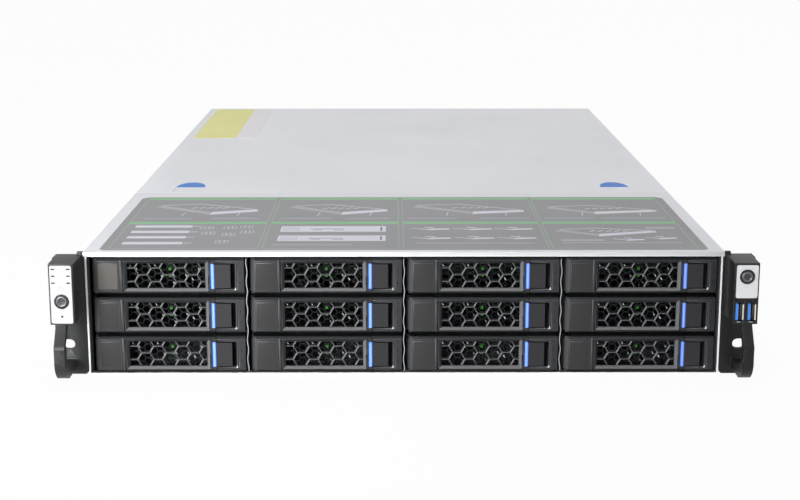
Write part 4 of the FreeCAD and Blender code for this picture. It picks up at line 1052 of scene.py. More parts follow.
class RACK_OT_carriers(bpy.types.Operator):
    """The twelve carriers, with their fixed bezel ends"""
    bl_idname = "rack.carriers"
    bl_label = "Carriers"

    def execute(self, context):
        piece = Piece()
        piece.take("carrier", "carrier_01", bay_corner("01"))
        soften_bezel(piece, 11.6, 2.5)
        # Painted shade in the hollow behind the button, painted shadow in the seams and slots, and
        # painted highlights on the hollow's edge and corner.
        piece.repaint("recess", self.in_recess)
        for start, end in SEAM_SHADOWS:
            piece.box("recess", start, end)
        piece.prism("bezel_edge_highlight", RECESS_EDGE_HIGHLIGHT, -0.02, 0.3, "Y")
        piece.prism("glint", RECESS_CORNER_GLINT, -0.05, 0.3, "Y")
        mesh = piece.done("carrier")
        for bay in BAYS:
            add(mesh, "carrier_skin_" + bay, "carrier_" + bay, bay_corner(bay),
                ["carrier_" + bay])
        return {"FINISHED"}

    def in_recess(self, at, facing):
        """The hollow behind the release button, which is painted near black as painted shade."""
        return 32.4 < at.x < 46.0 and 3.5 < at.z < 21.5 and at.y > 0.5


class RACK_OT_levers(bpy.types.Operator):
    """The twelve swinging levers with their honeycomb and label pads"""
    bl_idname = "rack.levers"
    bl_label = "Levers"

    def execute(self, context):
        meshes = {}
        for pad in ("pad", "pad_lit"):
            piece = Piece()
            piece.take("bezel", "lever_01", bay_corner("01"), self.in_window)
            self.slope_end(piece)
            soften_bezel(piece, 2.5, 1.6)
            self.honeycomb(piece)
            # Painted highlights on the sill, the outer end and the jamb.
            piece.repaint("sill_highlight", self.on_sill)
            piece.repaint("bezel_edge_highlight", self.on_lead_in)
            piece.repaint("bezel_top_highlight", self.on_jamb)
            piece.repaint(pad, self.on_pad)
            meshes[pad] = piece.done("lever_" + pad)
        # The top left bay's label pad gets the paler film, as painted light.
        for bay in BAYS:
            add(meshes["pad_lit" if bay == "01" else "pad"], "lever_skin_" + bay, "lever_" + bay,
                bay_corner(bay), ["lever_" + bay])
        return {"FINISHED"}

    def slope_end(self, piece):
        """Slopes the outer end of the bezel back, as a finger lead-in."""
        start, reach, fall = -48.4, 3.45, 1.4
        near = [face for face in piece.mesh.faces if face.calc_center_median().y < 1.5]
        parts = set(near)
        for face in near:
            parts.update(face.edges)
            parts.update(face.verts)
        bmesh.ops.bisect_plane(piece.mesh, geom=list(parts), dist=0.001,
                               plane_co=(start, 0, 0), plane_no=(1, 0, 0))
        for vertex in piece.mesh.verts:
            if vertex.co.x < start and vertex.co.y < 1.0:
                vertex.co.y += (start - vertex.co.x) / reach * fall

    def on_slope(self, at, facing):
        """The bevel round the window, on all four sides."""
        left, right, bottom, top = WINDOW
        room = WINDOW_BEVEL + 0.1
        return (left - room < at.x < right + room and bottom - room < at.z < top + room
                and 0.05 < at.y < room and facing.y < -0.2)

    def on_sill(self, at, facing):
        """The slope under the window, painted paler as a painted highlight."""
        return (self.on_slope(at, facing) and facing.z > 0.3
                and WINDOW[2] - WINDOW_BEVEL < at.z < WINDOW[2])

    def on_jamb(self, at, facing):
        """The slope at the window's strip side, painted paler as a painted highlight."""
        return (self.on_slope(at, facing) and facing.x < -0.3
                and WINDOW[1] < at.x < WINDOW[1] + WINDOW_BEVEL)

    def on_lead_in(self, at, facing):
        """The sloped outer end, painted paler as a painted highlight where the side light falls."""
        return at.x < -48.5 and at.y < 1.45 and facing.y < -0.5

    def on_pad(self, at, facing):
        """The raised label pad."""
        return -47.8 < at.x < -34.1 and at.y < -0.35

    def in_window(self, at):
        """The plain webs of the CAD lever, which the drafted ones take the place of."""
        return WINDOW[0] < at.x < WINDOW[1] and WINDOW[2] < at.z < WINDOW[3] and 2.5 < at.y < 3.9

    def honeycomb(self, piece):
        """The webs between six-sided cells, each drafted so that its front is the narrower; the
        rising webs get a painted highlight.
        """
        for one, two in hexagon_webs(WINDOW, CELL_PITCH, CELL_STEP, FIRST_CELL):
            climbs = (two[1] - one[1]) * (two[0] - one[0]) > 0.5
            corners = [piece.mesh.verts.new((point[0], depth, point[1]))
                       for depth, width in (WEB_BACK, WEB_FRONT)
                       for point in stroke(one, two, width)]
            # Painted highlight on the webs that face the light from the upper left.
            index = piece.finish_index("mesh_lit" if climbs else "mesh")
            for loop in ((0, 1, 2, 3), (4, 5, 6, 7), (0, 1, 5, 4), (1, 2, 6, 5), (2, 3, 7, 6),
                         (3, 0, 4, 7)):
                face = piece.mesh.faces.new([corners[number] for number in loop])
                face.material_index = index


def hexagon_webs(window, pitch, step, offset=(0.0, 0.0)):
    """The straight webs of a honeycomb, each cut off at a window's edges."""
    left, right, bottom, top = window
    side = step / 1.5
    squash = pitch / math.sqrt(3) / side
    for column in range(-2, int((right - left) / step) + 3):
        for row in range(-1, int((top - bottom) / pitch) + 2):
            middle = (left + offset[0] + column * step,
                      bottom + offset[1] + pitch * (row + (column % 2) / 2))
            turns = [math.radians(60 * number) for number in range(4)]
            corners = [(middle[0] + side * math.cos(turn),
                        middle[1] + squash * side * math.sin(turn)) for turn in turns]
            for one, two in zip(corners, corners[1:]):
                ends = clipped(one, two, left, right, bottom, top)
                if ends:
                    yield ends


class RACK_OT_bay_screens(bpy.types.Operator):
    """The perforated steel screen in each carrier's front frame"""
    bl_idname = "rack.bay_screens"
    bl_label = "Bay screens"

    def execute(self, context):
        draw = random.Random(4)
        screen = Piece()
        for one, two in hexagon_webs(SCREEN, SCREEN_PITCH, SCREEN_STEP):
            screen.prism("screen", stroke(one, two, 0.8), 9.0, 9.8, "Y")
            fall = (two[1] - one[1]) * (two[0] - one[0])
            # Painted glints on some of the falling webs.
            if fall < -0.5 and draw.random() < GLINT_SHARE:
                self.painted_glint(screen, one, two, draw.uniform(0.35, 0.8))
        for bottom in BAY_SPOTS:
            spot = rounded(-0.8, 1.4, bottom, bottom + 2.2, 0.5)
            screen.prism("bay_green", spot, 10.2, 10.8, "Y")
        mesh = screen.done("bay_screen")
        for bay in BAYS:
            add(mesh, "bay_screen_" + bay, "carrier_" + bay, bay_corner(bay))
        return {"FINISHED"}

    def painted_glint(self, screen, one, two, share):
        """A painted glint along the edge of a web."""
        end = (one[0] + (two[0] - one[0]) * share, one[1] + (two[1] - one[1]) * share)
        screen.prism("glint", stroke(one, end, 0.5), 8.85, 9.0, "Y")


class RACK_OT_release_buttons(bpy.types.Operator):
    """The twelve release buttons: a thumb pad and a blue strip"""
    bl_idname = "rack.release_buttons"
    bl_label = "Release buttons"

    def execute(self, context):
        thumb = Piece()
        thumb.box("latch", *THUMB)
        thumb.soften(0.8, 3)
        thumb.box("latch", *THUMB_BACK)
        strip = Piece()
        strip.box("strip", *STRIP)
        strip.soften(0.5, 3)
        thumb_mesh = thumb.done("thumb")
        strip_mesh = strip.done("strip")
        for bay in BAYS:
            body = "release_button_" + bay
            add(thumb_mesh, "thumb_" + bay, body, bay_corner(bay), [body])
            add(strip_mesh, "strip_" + bay, body, bay_corner(bay))
        return {"FINISHED"}


# ---------------------------------------------------------------------------------------------
# Rack ears
# ---------------------------------------------------------------------------------------------

# The cut across a flange's top outer corner starts at this height on its outer side.
EAR_REACH = 241.3
CUT_CORNER_UP = 83.5
# The loop handle's strap: its top, its narrowest cross edge, and how far out its folds lie.
STRAP_TOP = 43.0
STRAP_EDGE = 4.0
OUTER_FOLDS, INNER_FOLDS, ALL_FOLDS = -33.0, -28.0, -24.0


class RACK_OT_ears(bpy.types.Operator):
    """The rack ears with their loop handles and pods"""
    bl_idname = "rack.ears"
    bl_label = "Rack ears"

    def execute(self, context):
        # The left ear's rounded edges get a painted highlight; the right ear is painted darker as
        # painted shade, with its edges in the plain ear plastic.
        for node, skin, edge in (("left_ear", "ear", "ear_edge_highlight"), ("right_ear", "ear_in_shade", "ear")):
            piece = Piece()
            piece.take(skin, node)
            for side in (-1, 1):
                piece.trim((side * EAR_REACH, 0.0, CUT_CORNER_UP), (side, 0.0, 1.0))
            piece.soften(9.0, 8, 4.0, keep=self.on_outer_bend)
            piece.soften(1.4, 4, 4.0, keep=self.on_inner_bend)
            piece.soften(0.45, 3, keep=self.off_bend, finish=edge)
            piece.ride(node + "_skin", "chassis", "ear_plastic", [node])
        return {"FINISHED"}

    def across_strap(self, edge, depth):
        """Whether an edge runs across the loop handle's strap, in front of a depth."""
        one, two = (vertex.co for vertex in edge.verts)
        return (abs(one.x - two.x) > STRAP_EDGE and max(one.y, two.y) < depth
                and max(one.z, two.z) < STRAP_TOP)

    def on_outer_bend(self, edge):
        """The fold across the outside of the strap."""
        return self.across_strap(edge, OUTER_FOLDS) and max(end.co.z for end in edge.verts) > 20.0

    def on_inner_bend(self, edge):
        """The other folds across the strap."""
        return (self.across_strap(edge, INNER_FOLDS)
                and max(end.co.y for end in edge.verts) > OUTER_FOLDS)

    def off_bend(self, edge):
        """All edges but the folds."""
        return not self.across_strap(edge, ALL_FOLDS)


# Face plates with their holes, the lamps and the sign on the left one, and the ports.
RIGHT_PLATE_START = 222.0
PLATE_INLAY = 0.55
RIGHT_PLATE_BOTTOM = 61.3
BUTTON_HOLE = 5.1
RESET_HOLE_UP, RESET_HOLE = 49.4, 0.75
LAMP_ROWS = (82.2, 77.5, 72.7)
LAMP_COLUMNS = (-5.1, 5.1)
LAMP_HALF = (1.25, 0.46)
POWER_SIGN_UP, POWER_SIGN = 68.4, 1.3
PORT_WIDTH = 6.6
PORT_CONTACTS = (4.4, 7.2, 10.0)

# Button cap, as (distance behind its front, radius).
CAP_FACE = [(0.55, 0.0), (0.5, 1.6), (0.35, 2.3)]
CAP_RIM = [(0.35, 2.3), (0.12, 2.6), (0.05, 3.0), (0.12, 3.4), (0.3, 3.65)]
CAP_SIDE = [(0.3, 3.65), (0.02, 3.9), (0.0, 4.3), (0.06, 4.65), (0.3, 4.8)]


class RACK_OT_panels(bpy.types.Operator):
    """Face plates, buttons, lamps and ports of the two pods"""
    bl_idname = "rack.panels"
    bl_label = "Front panels"

    def execute(self, context):
        piece = Piece()
        piece.take("ear", "panel_faces")
        start, end = low("panel_faces"), high("panel_faces")
        half = (end.x - RIGHT_PLATE_START) / 2 - PLATE_INLAY
        self.face = start.y - 0.05
        self.middle = (low("power_button").x + high("power_button").x) / 2
        for node, bottom in (("power_button", start.z), ("uid_button", RIGHT_PLATE_BOTTOM)):
            centre = (low(node) + high(node)) / 2
            outline = rounded(centre.x - half, centre.x + half,
                              bottom + PLATE_INLAY, end.z - PLATE_INLAY, 1.3)
            holes = [ring_of((centre.x, centre.z), BUTTON_HOLE)]
            if node == "power_button":
                holes.append(ring_of((centre.x, RESET_HOLE_UP), RESET_HOLE, 16))
            piece.plate("plate", outline, holes, self.face, start.y + 0.1)
        piece.ride("panel_plates", "chassis", "panel_plate", ["panel_faces"])
        for node in ("power_button", "uid_button"):
            self.button(node)
        self.marks()
        self.ports()
        return {"FINISHED"}

    def button(self, node):
        """A black cap with a soft metal rim round a dished grey face."""
        middle = (low(node) + high(node)) / 2
        front = low(node).y
        depth = high(node).y - front
        cap = Piece()
        profiles = {"button_face": CAP_FACE, "button_rim": CAP_RIM,
                    "black": CAP_SIDE + [(depth, 4.8), (depth, 0.0)]}
        for finish, profile in profiles.items():
            cap.lathe(finish, (middle.x, front, middle.z), profile)
        cap.ride(node + "_cap", node, "button_cap", [node])

    def marks(self):
        """Lamp windows, the power sign and the shade of the reset hole on the left plate."""
        marks = Piece()
        wide, tall = LAMP_HALF
        for up in LAMP_ROWS:
            for side in LAMP_COLUMNS:
                across = self.middle + side
                window = rounded(across - wide, across + wide, up - tall, up + tall, 0.4, 3)
                marks.prism("dash", window, self.face - 0.04, self.face + 0.1, "Y")
        for turn in range(-60, 241, 15):
            ends = [heading(angle, POWER_SIGN, (self.middle, POWER_SIGN_UP))
                    for angle in (turn, turn + 15)]
            marks.prism("ring_mark", stroke(*ends, 0.32), self.face - 0.03, self.face + 0.1, "Y")
        hole = ring_of((self.middle, RESET_HOLE_UP), RESET_HOLE + 0.05, 16)
        marks.prism("black", hole, self.face - 0.02, self.face + 0.08, "Y")
        marks.ride("pod_marks", "chassis", "panel_plate")

    def ports(self):
        """Steel shells with a blue tongue, a row of contacts and sprung tabs in each."""
        shells = Piece()
        shells.take("port_steel", "usb_ports")
        shells.soften(0.12, 2, 2.0)
        start, end = low("usb_ports"), high("usb_ports")
        for left in (start.x, end.x - PORT_WIDTH):
            shells.box("port_blue", (left + 0.75, start.y + 0.35, start.z + 1.5),
                       (left + 2.5, start.y + 6.0, end.z - 1.5))
            shells.box("port_pale", (left + PORT_WIDTH - 1.3, start.y + 0.1, start.z + 1.7),
                       (left + PORT_WIDTH - 0.45, start.y + 5.0, end.z - 2.0))
            shells.box("port_edge", (left + 1.6, start.y - 0.05, start.z + 0.1),
                       (left + 4.2, start.y + 0.6, start.z + 0.5))
            for up in PORT_CONTACTS:
                shells.box("gold", (left + 2.5, start.y + 0.9, start.z + up - 0.5),
                           (left + 2.7, start.y + 5.5, start.z + up + 0.5))
        shells.ride("usb_shells", "chassis", "port_shell", ["usb_ports"])


# ---------------------------------------------------------------------------------------------
# Everything behind the bays
# ---------------------------------------------------------------------------------------------

class RACK_OT_chassis(bpy.types.Operator):
    """Finishes of the sheet-metal chassis, cage and boards"""
    bl_idname = "rack.chassis"
    bl_label = "Chassis"

    def execute(self, context):
        # The drive cage takes zinc painted dark, as painted shade.
        for node, finish in (("chassis_tray", "zinc"), ("drive_cage", "zinc_in_shade"),
                             ("backplane", "green_board"), ("fan_frames", "fan"),
                             ("motherboard", "green_board"), ("heatsinks", "fin"),
                             ("memory_modules", "memory_board"),
                             ("psu_1", "psu"), ("psu_2", "psu")):
            dress(node, finish)
        for number in range(1, 5):
            dress("fan_rotor_%d" % number, "rotor")
        return {"FINISHED"}


SOCKET_HEIGHT = 6.0
PROCESSORS_Y = 467.8
# Middle, width and height of each big chip.
CHIPS = (((-112.0, 596.0), 21.0, 2.2), ((-166.0, 668.0), 17.0, 1.8), ((-60.0, 664.0), 12.0, 1.4),
         ((-142.0, 560.0), 9.0, 1.2), ((84.0, 700.0), 13.0, 1.4), ((20.0, 688.0), 8.0, 1.2))
BATTERY = (98.0, 664.0)
CONTROLLER, CONTROLLER_SIZE = (2.0, 598.0), 36.0
PROCESSOR_INSET = 46.0
CARD_SLOTS = (-74.0, -46.0, 36.0, 64.0)
CARD_SLOT_NEAR, CARD_SLOT_LENGTH = 572.0, 89.0
SUPPLY_SOCKETS = (552.0, 612.0)
FAN_HEADERS = range(-190, 110, 42)
# Turned parts, as (height above the board, radius).
CAN = [(0.0, 3.9), (0.8, 4.0), (7.4, 4.0), (8.0, 3.6), (8.05, 0.0)]
SOCKET_SCREW = [(0.0, 3.4), (9.0, 3.4), (9.6, 2.8), (9.6, 1.6), (8.6, 1.4), (8.6, 0.0)]


class RACK_OT_board_parts(bpy.types.Operator):
    """Chips, coils, capacitors and connectors on the main board"""
    bl_idname = "rack.board_parts"
    bl_label = "Board parts"

    def execute(self, context):
        draw = random.Random(11)
        self.top = low("heatsinks").z - SOCKET_HEIGHT
        self.parts = Piece()
        start, end = low("heatsinks"), high("heatsinks")
        for middle in (start.x + PROCESSOR_INSET, end.x - PROCESSOR_INSET):
            self.supply_row(middle, start.y)
            self.socket_ears(middle)
        for centre, size, height in CHIPS:
            self.chip(centre, size, height)
        self.finned_block(CONTROLLER, CONTROLLER_SIZE)
        for left in CARD_SLOTS:
            self.slot_connector(left, CARD_SLOT_NEAR, CARD_SLOT_LENGTH)
        for near in SUPPLY_SOCKETS:
            self.supply_socket(near)
        for left in FAN_HEADERS:
            self.block("port_edge", (left, 341.5), (left + 25.0, 349.5), 6.0)
            self.block("black", (left + 1.5, 343.0), (left + 23.5, 348.0), 6.4)
        self.battery()
        for count in range(context.scene.rack_details.chips):
            self.scatter(draw)
        self.parts.ride("board_parts", "chassis", "circuit_board")
        return {"FINISHED"}

    def block(self, finish, start, end, height, foot=0.0):
        """A low block on the board, with its edges eased."""
        edges = self.parts.box(finish, (start[0], start[1], self.top + foot),
                               (end[0], end[1], self.top + height))
        self.parts.soften(0.25, 1, 1.0, edges=edges)

    def square(self, finish, centre, half, height, foot):
        """A block given by its middle and half its width."""
        self.block(finish, (centre[0] - half, centre[1] - half),
                   (centre[0] + half, centre[1] + half), height, foot)

    def supply_socket(self, near):
        """The connector that a power supply slides on to."""
        self.block("black", (108.0, near), (127.0, near + 50.0), 12.0)
        for step in range(12):
            contact = near + 2.4 + step * 3.9
            self.block("gold", (110.5, contact), (124.5, near + 4.6 + step * 3.9), 12.2)

    def battery(self):
        """A coin cell in its holder."""
        foot = (*BATTERY, self.top)
        self.parts.lathe("black", foot, [(0, 12.0), (3.0, 12.0), (3.0, 10.4)], "Z")
        self.parts.lathe("chrome", foot, [(3.0, 10.4), (3.9, 10.0), (4.2, 9.0), (4.2, 0.0)], "Z")

    def supply_row(self, middle, rear):
        """The coils and capacitors that feed a processor."""
        for step in range(7):
            across = middle - 42.0 + step * 14.0
            self.block("coil", (across - 5.0, rear - 27.0), (across + 5.0, rear - 17.0), 7.5)
            self.block("chip", (across - 3.0, rear - 36.5), (across + 3.0, rear - 30.5), 1.2)
        for step in range(9):
            across = middle - 44.0 + step * 11.0
            for along in (rear - 45.0, rear + 116.0):
                foot = (across, along, self.top)
                self.parts.lathe("can", foot, CAN, "Z", 16)
                self.parts.lathe("chip", foot, [(0.0, 4.5), (0.9, 4.5), (0.9, 4.0)], "Z", 16)

    def socket_ears(self, middle):
        """The four screws that hold a processor's heatsink down."""
        for side in (-1, 1):
            for front in (-1, 1):
                at = (middle + side * 41.0, PROCESSORS_Y + front * 49.0, self.top)
                self.parts.lathe("screw", at, SOCKET_SCREW, "Z", 14)

    def chip(self, centre, size, height):
        """A package with a pin-one dimple and rows of legs."""
        half = size / 2
        self.square("chip", centre, half, height, 0.15)
        dimple = (centre[0] - half + 2.0, centre[1] + half - 2.0, self.top + height)
        self.parts.lathe("black", dimple, [(0.02, 0.0), (0.02, 0.6), (0.0, 0.62)], "Z", 10)
        legs = int(size / 1.3)
        for step in range(legs):
            offset = -half + (step + 0.5) * size / legs
            for side in (-1, 1):
                reach = sorted((side * half, side * (half + 1.2)))
                for one, two in (((reach[0], offset - 0.25), (reach[1], offset + 0.25)),
                                 ((offset - 0.25, reach[0]), (offset + 0.25, reach[1]))):
                    self.parts.box("can", (centre[0] + one[0], centre[1] + one[1], self.top),
                                   (centre[0] + two[0], centre[1] + two[1], self.top + 0.35))

    def finned_block(self, centre, size):
        """A small heatsink with cross-cut fins."""
        half = size / 2
        self.square("fin", centre, half, 4.0, 1.5)
        for across in range(9):
            for along in range(4):
                left = centre[0] - half + 0.6 + across * (size - 2.6) / 8
                near = centre[1] - half + 0.6 + along * (size - 7.8) / 3
                self.parts.box("fin", (left, near, self.top + 4.0),
                               (left + 1.4, near + 6.6, self.top + 13.0))

    def slot_connector(self, left, near, length):
        """An expansion socket: black body, a dark strip of painted shade for its slot, and
        retaining clip.
        """
        self.block("black", (left, near), (left + 7.6, near + length), 11.0)
        self.parts.box("recess", (left + 3.0, near + 2.0, self.top + 11.0),
                       (left + 4.6, near + length - 2.0, self.top + 11.05))
        self.block("touch", (left + 1.2, near + length), (left + 6.4, near + length + 5.0), 14.0)

    def scatter(self, draw):
        """One cluster of small surface parts in line, away from the big ones."""
        along = draw.choice([draw.uniform(354.0, 364.0), draw.uniform(545.0, 566.0),
                             draw.uniform(622.0, 702.0), draw.uniform(622.0, 702.0)])
        across = draw.uniform(-206.0, 100.0)
        length, width = draw.choice([(1.6, 0.8), (2.0, 1.25), (3.2, 1.6)])
        turned = draw.random() < 0.5
        finish = draw.choice(["chip", "tan", "can"])
        for step in range(draw.randint(3, 9)):
            offset = step * (width + 1.0)
            corner = (across, along + offset) if turned else (across + offset, along)
            size = (length, width) if turned else (width, length)
            self.parts.box(finish, (corner[0], corner[1], self.top),
                           (corner[0] + size[0], corner[1] + size[1], self.top + 0.8))


MODULE_PITCH = 9.0
BANKS_FROM_START, LAST_BANK_FROM_END = (1.8, 138.8, 171.8), 28.8


class RACK_OT_memory(bpy.types.Operator):
    """Chips, stickers and sockets' latches of the memory modules"""
    bl_idname = "rack.memory"
    bl_label = "Memory"

    def execute(self, context):
        start, end = low("memory_modules"), high("memory_modules")
        module = Piece()
        for step in range(9):
            near = 6.0 + step * 13.9
            for left, right in ((-1.85, -1.1), (1.1, 1.85)):
                edges = module.box("chip", (left, near, 7.0), (right, near + 9.6, 21.0))
                module.soften(0.2, 1, 1.0, edges=edges)
        module.box("white", (1.85, 44.0, 9.0), (1.92, 92.0, 20.0))
        for bottom, top in ((-0.6, 8.0), (8.0, 10.4)):
            for near, far in ((-4.5, -0.4), (133.8, 137.9)):
                module.box("white", (-2.0, near, bottom), (2.0, far, top))
        mesh = module.done("memory_dress")
        banks = [start.x + offset for offset in BANKS_FROM_START] + [end.x - LAST_BANK_FROM_END]
        for bank, first in enumerate(banks):
            for step in range(4):
                add(mesh, "memory_dress_%d_%d" % (bank + 1, step + 1), "chassis",
                    (first + step * MODULE_PITCH, start.y, start.z))
        return {"FINISHED"}


FIRST_FAN, FAN_PITCH = -156.0, 104.0
# How far in front of the fan frames the guard's wires lie.
GUARD = (-1.1, -0.1)
GUARD_RINGS = (8.0, 15.0, 22.0, 29.0, 36.0)
GUARD_SCREW = [(0.0, 3.2), (-1.6, 3.0), (-2.0, 2.2), (-2.0, 1.0), (-1.2, 0.9), (-1.2, 0.0)]


class RACK_OT_fans(bpy.types.Operator):
    """Guard rings, corner screws and hub stickers of the fans"""
    bl_idname = "rack.fans"
    bl_label = "Fans"

    def execute(self, context):
        guard = Piece()
        for radius in GUARD_RINGS:
            guard.wire("chrome", (0.0, 0.0, 0.0), radius, 0.5, *GUARD)
        for turn in (45, 135, 225, 315):
            guard.prism("chrome", stroke(heading(turn, 8.0), heading(turn, 40.0), 1.2), *GUARD, "Y")
            across, up = heading(turn, 36.0)
            guard.lathe("screw", (across, 0.0, up), GUARD_SCREW, "Y", 14)
        mesh = guard.done("fan_guard")
        hub = Piece()
        hub.lathe("black", (0.0, 0.0, 0.0), [(0.4, 17.6), (0.05, 17.2), (0.0, 14.6)])
        hub.lathe("white", (0.0, 0.0, 0.0), [(-0.02, 14.4), (-0.08, 14.2), (-0.08, 0.0)])
        hub.prism("touch", rounded(-2.4, 2.4, 7.0, 11.0, 1.0), -0.14, -0.06, "Y")
        cap = hub.done("fan_hub")
        for number in range(1, 5):
            start, end = low("fan_rotor_%d" % number), high("fan_rotor_%d" % number)
            axis = (FIRST_FAN + FAN_PITCH * (number - 1), start.y, (start.z + end.z) / 2)
            add(mesh, "fan_guard_%d" % number, "chassis",
                (axis[0], low("fan_frames").y, axis[2]))
            add(cap, "fan_hub_%d" % number, "fan_rotor_%d" % number, axis)
        return {"FINISHED"}


DRIVE_COLUMNS = (-162.8, -54.3, 54.3, 162.8)
SMALL_PARTS = 90


class RACK_OT_backplane_parts(bpy.types.Operator):
    """Power and data connectors on the rear face of the drive backplane"""
    bl_idname = "rack.backplane_parts"
    bl_label = "Backplane parts"

    def execute(self, context):
        draw = random.Random(5)
        face = high("backplane").y
        parts = Piece()
        for across in DRIVE_COLUMNS:
            power = parts.box("black", (across - 11.0, face, 70.5),
                              (across + 11.0, face + 9.0, 78.5))
            parts.soften(0.4, 1, edges=power)
            data = parts.box("port_edge", (across - 24.0, face, 55.5),
                             (across - 2.0, face + 7.0, 60.5))
            parts.soften(0.3, 1, edges=data)
        for step in range(SMALL_PARTS):
            across, up = draw.uniform(-210.0, 208.0), draw.choice((19.0, 48.0, 22.0))
            finish = draw.choice(("chip", "tan", "can"))
            parts.box(finish, (across, face, up + draw.uniform(-1.5, 1.5)),
                      (across + 1.6, face + 0.8, up + 3.0))
        parts.ride("backplane_parts", "chassis", "circuit_board")
        return {"FINISHED"}


COVER_WIDTH, COVER_HEIGHT = 118.0, 18.4
COVER_PITCH, COVER_STEP = 128.0, 20.32
FIRST_JACK, JACK_PITCH = -189.8, 24.0
# Places of screws, as (across, height), and their shape, as (distance out, radius).
REAR_SCREWS = ((-215.4, 25.0), (-215.4, 60.0), (38.0, 25.0), (38.0, 80.0), (-89.2, 52.0),
               (138.0, 10.0), (138.0, 78.0), (60.0, 12.0), (110.0, 12.0))
PAN_HEAD = [(0.0, 2.5), (0.7, 2.4), (1.2, 1.8), (1.4, 0.9), (1.0, 0.8), (1.0, 0.0)]


class RACK_OT_rear_panel(bpy.types.Operator):
    """Perforated slot covers, jack contacts, lamps and screws of the rear panel"""
    bl_idname = "rack.rear_panel"
    bl_label = "Rear panel"

    def execute(self, context):
        self.face = high("chassis_tray").y
        self.slot_covers()
        jacks = Piece()
        for index, lamp in enumerate(("lamp_green", "lamp_green", "yellow_lamp")):
            self.jack(jacks, FIRST_JACK + JACK_PITCH * index, lamp)
        jacks.ride("jack_contacts", "chassis", "port_shell")
        self.screws()
        return {"FINISHED"}

    def slot_covers(self):
        """Two columns of three blanking plates with staggered holes."""
        start, end = low("slot_covers"), high("slot_covers")
        cover = Piece()
        holes = [ring_of((5.0 + step * 4.5 + (row % 2) * 2.25, 4.2 + row * 3.4), 1.35, 8)
                 for row in range(4) for step in range(24)]
        outline = rounded(0.0, COVER_WIDTH, 0.0, COVER_HEIGHT, 0.8, 2)
        cover.plate("slot_zinc", outline, holes, 0.0, end.y - start.y)
        mesh = cover.done("slot_cover")
        for column in range(2):
            for row in range(3):
                at = (start.x + COVER_PITCH * column, start.y, start.z + COVER_STEP * row)
                add(mesh, "slot_cover_%d_%d" % (column + 1, row + 1), "chassis",
                    at, ["slot_covers"])

    def jack(self, jacks, left, first_lamp):
        """A network jack: steel rim, eight contacts and two lamps."""
        face = self.face
        jacks.plate("port_edge", rounded(left + 0.05, left + 15.95, 9.3, 22.1, 0.3, 2),
                    [rounded(left + 2.5, left + 13.5, 10.5, 19.7, 0.2, 2)],
                    face - 18.0, face + 0.15)
        for step in range(8):
            across = left + 4.2 + step * 1.0
            jacks.box("gold", (across, face - 14.0, 19.0), (across + 0.35, face - 2.0, 19.6))
        for finish, near, far in ((first_lamp, 2.5, 5.0), ("yellow_lamp", 11.0, 13.5)):
            jacks.box(finish, (left + near, face - 1.6, 10.0), (left + far, face - 0.15, 11.0))

    def screws(self):
        """Pan-head screws with a cross recess painted near black as painted shade, all over the
        rear panel.
        """
        screws = Piece()
        for across, up in REAR_SCREWS:
            screws.lathe("screw", (across, self.face, up), PAN_HEAD, "Y", 16)
            for wide, tall in ((1.5, 0.3), (0.3, 1.5)):
                screws.box("recess", (across - wide, self.face + 1.0, up - tall),
                           (across + wide, self.face + 1.42, up + tall))
        screws.ride("rear_screws", "chassis", "galvanised_steel")


# Rear face and middle height, from a supply's own lower corner.
SUPPLY_REAR, SUPPLY_MIDDLE = 185.0, 19.75
GRILLE_ACROSS = 20.0
GRILLE_RINGS = (3.5, 7.0, 10.5, 14.0)
# Mains pins as (across, height above the middle), and corner screws as (across, height).
PINS = ((45.2, 0.0), (38.2, -3.6), (52.2, -3.6))
SUPPLY_CORNERS = ((4.0, 3.6), (4.0, 35.9), (68.6, 3.6), (68.6, 35.9))
SUPPLY_LAMP = [(0.0, 1.5), (0.5, 1.4), (0.8, 0.9), (0.85, 0.0)]
SUPPLY_SCREW = [(0.0, 1.9), (0.5, 1.8), (0.8, 1.2), (0.6, 0.7), (0.6, 0.0)]


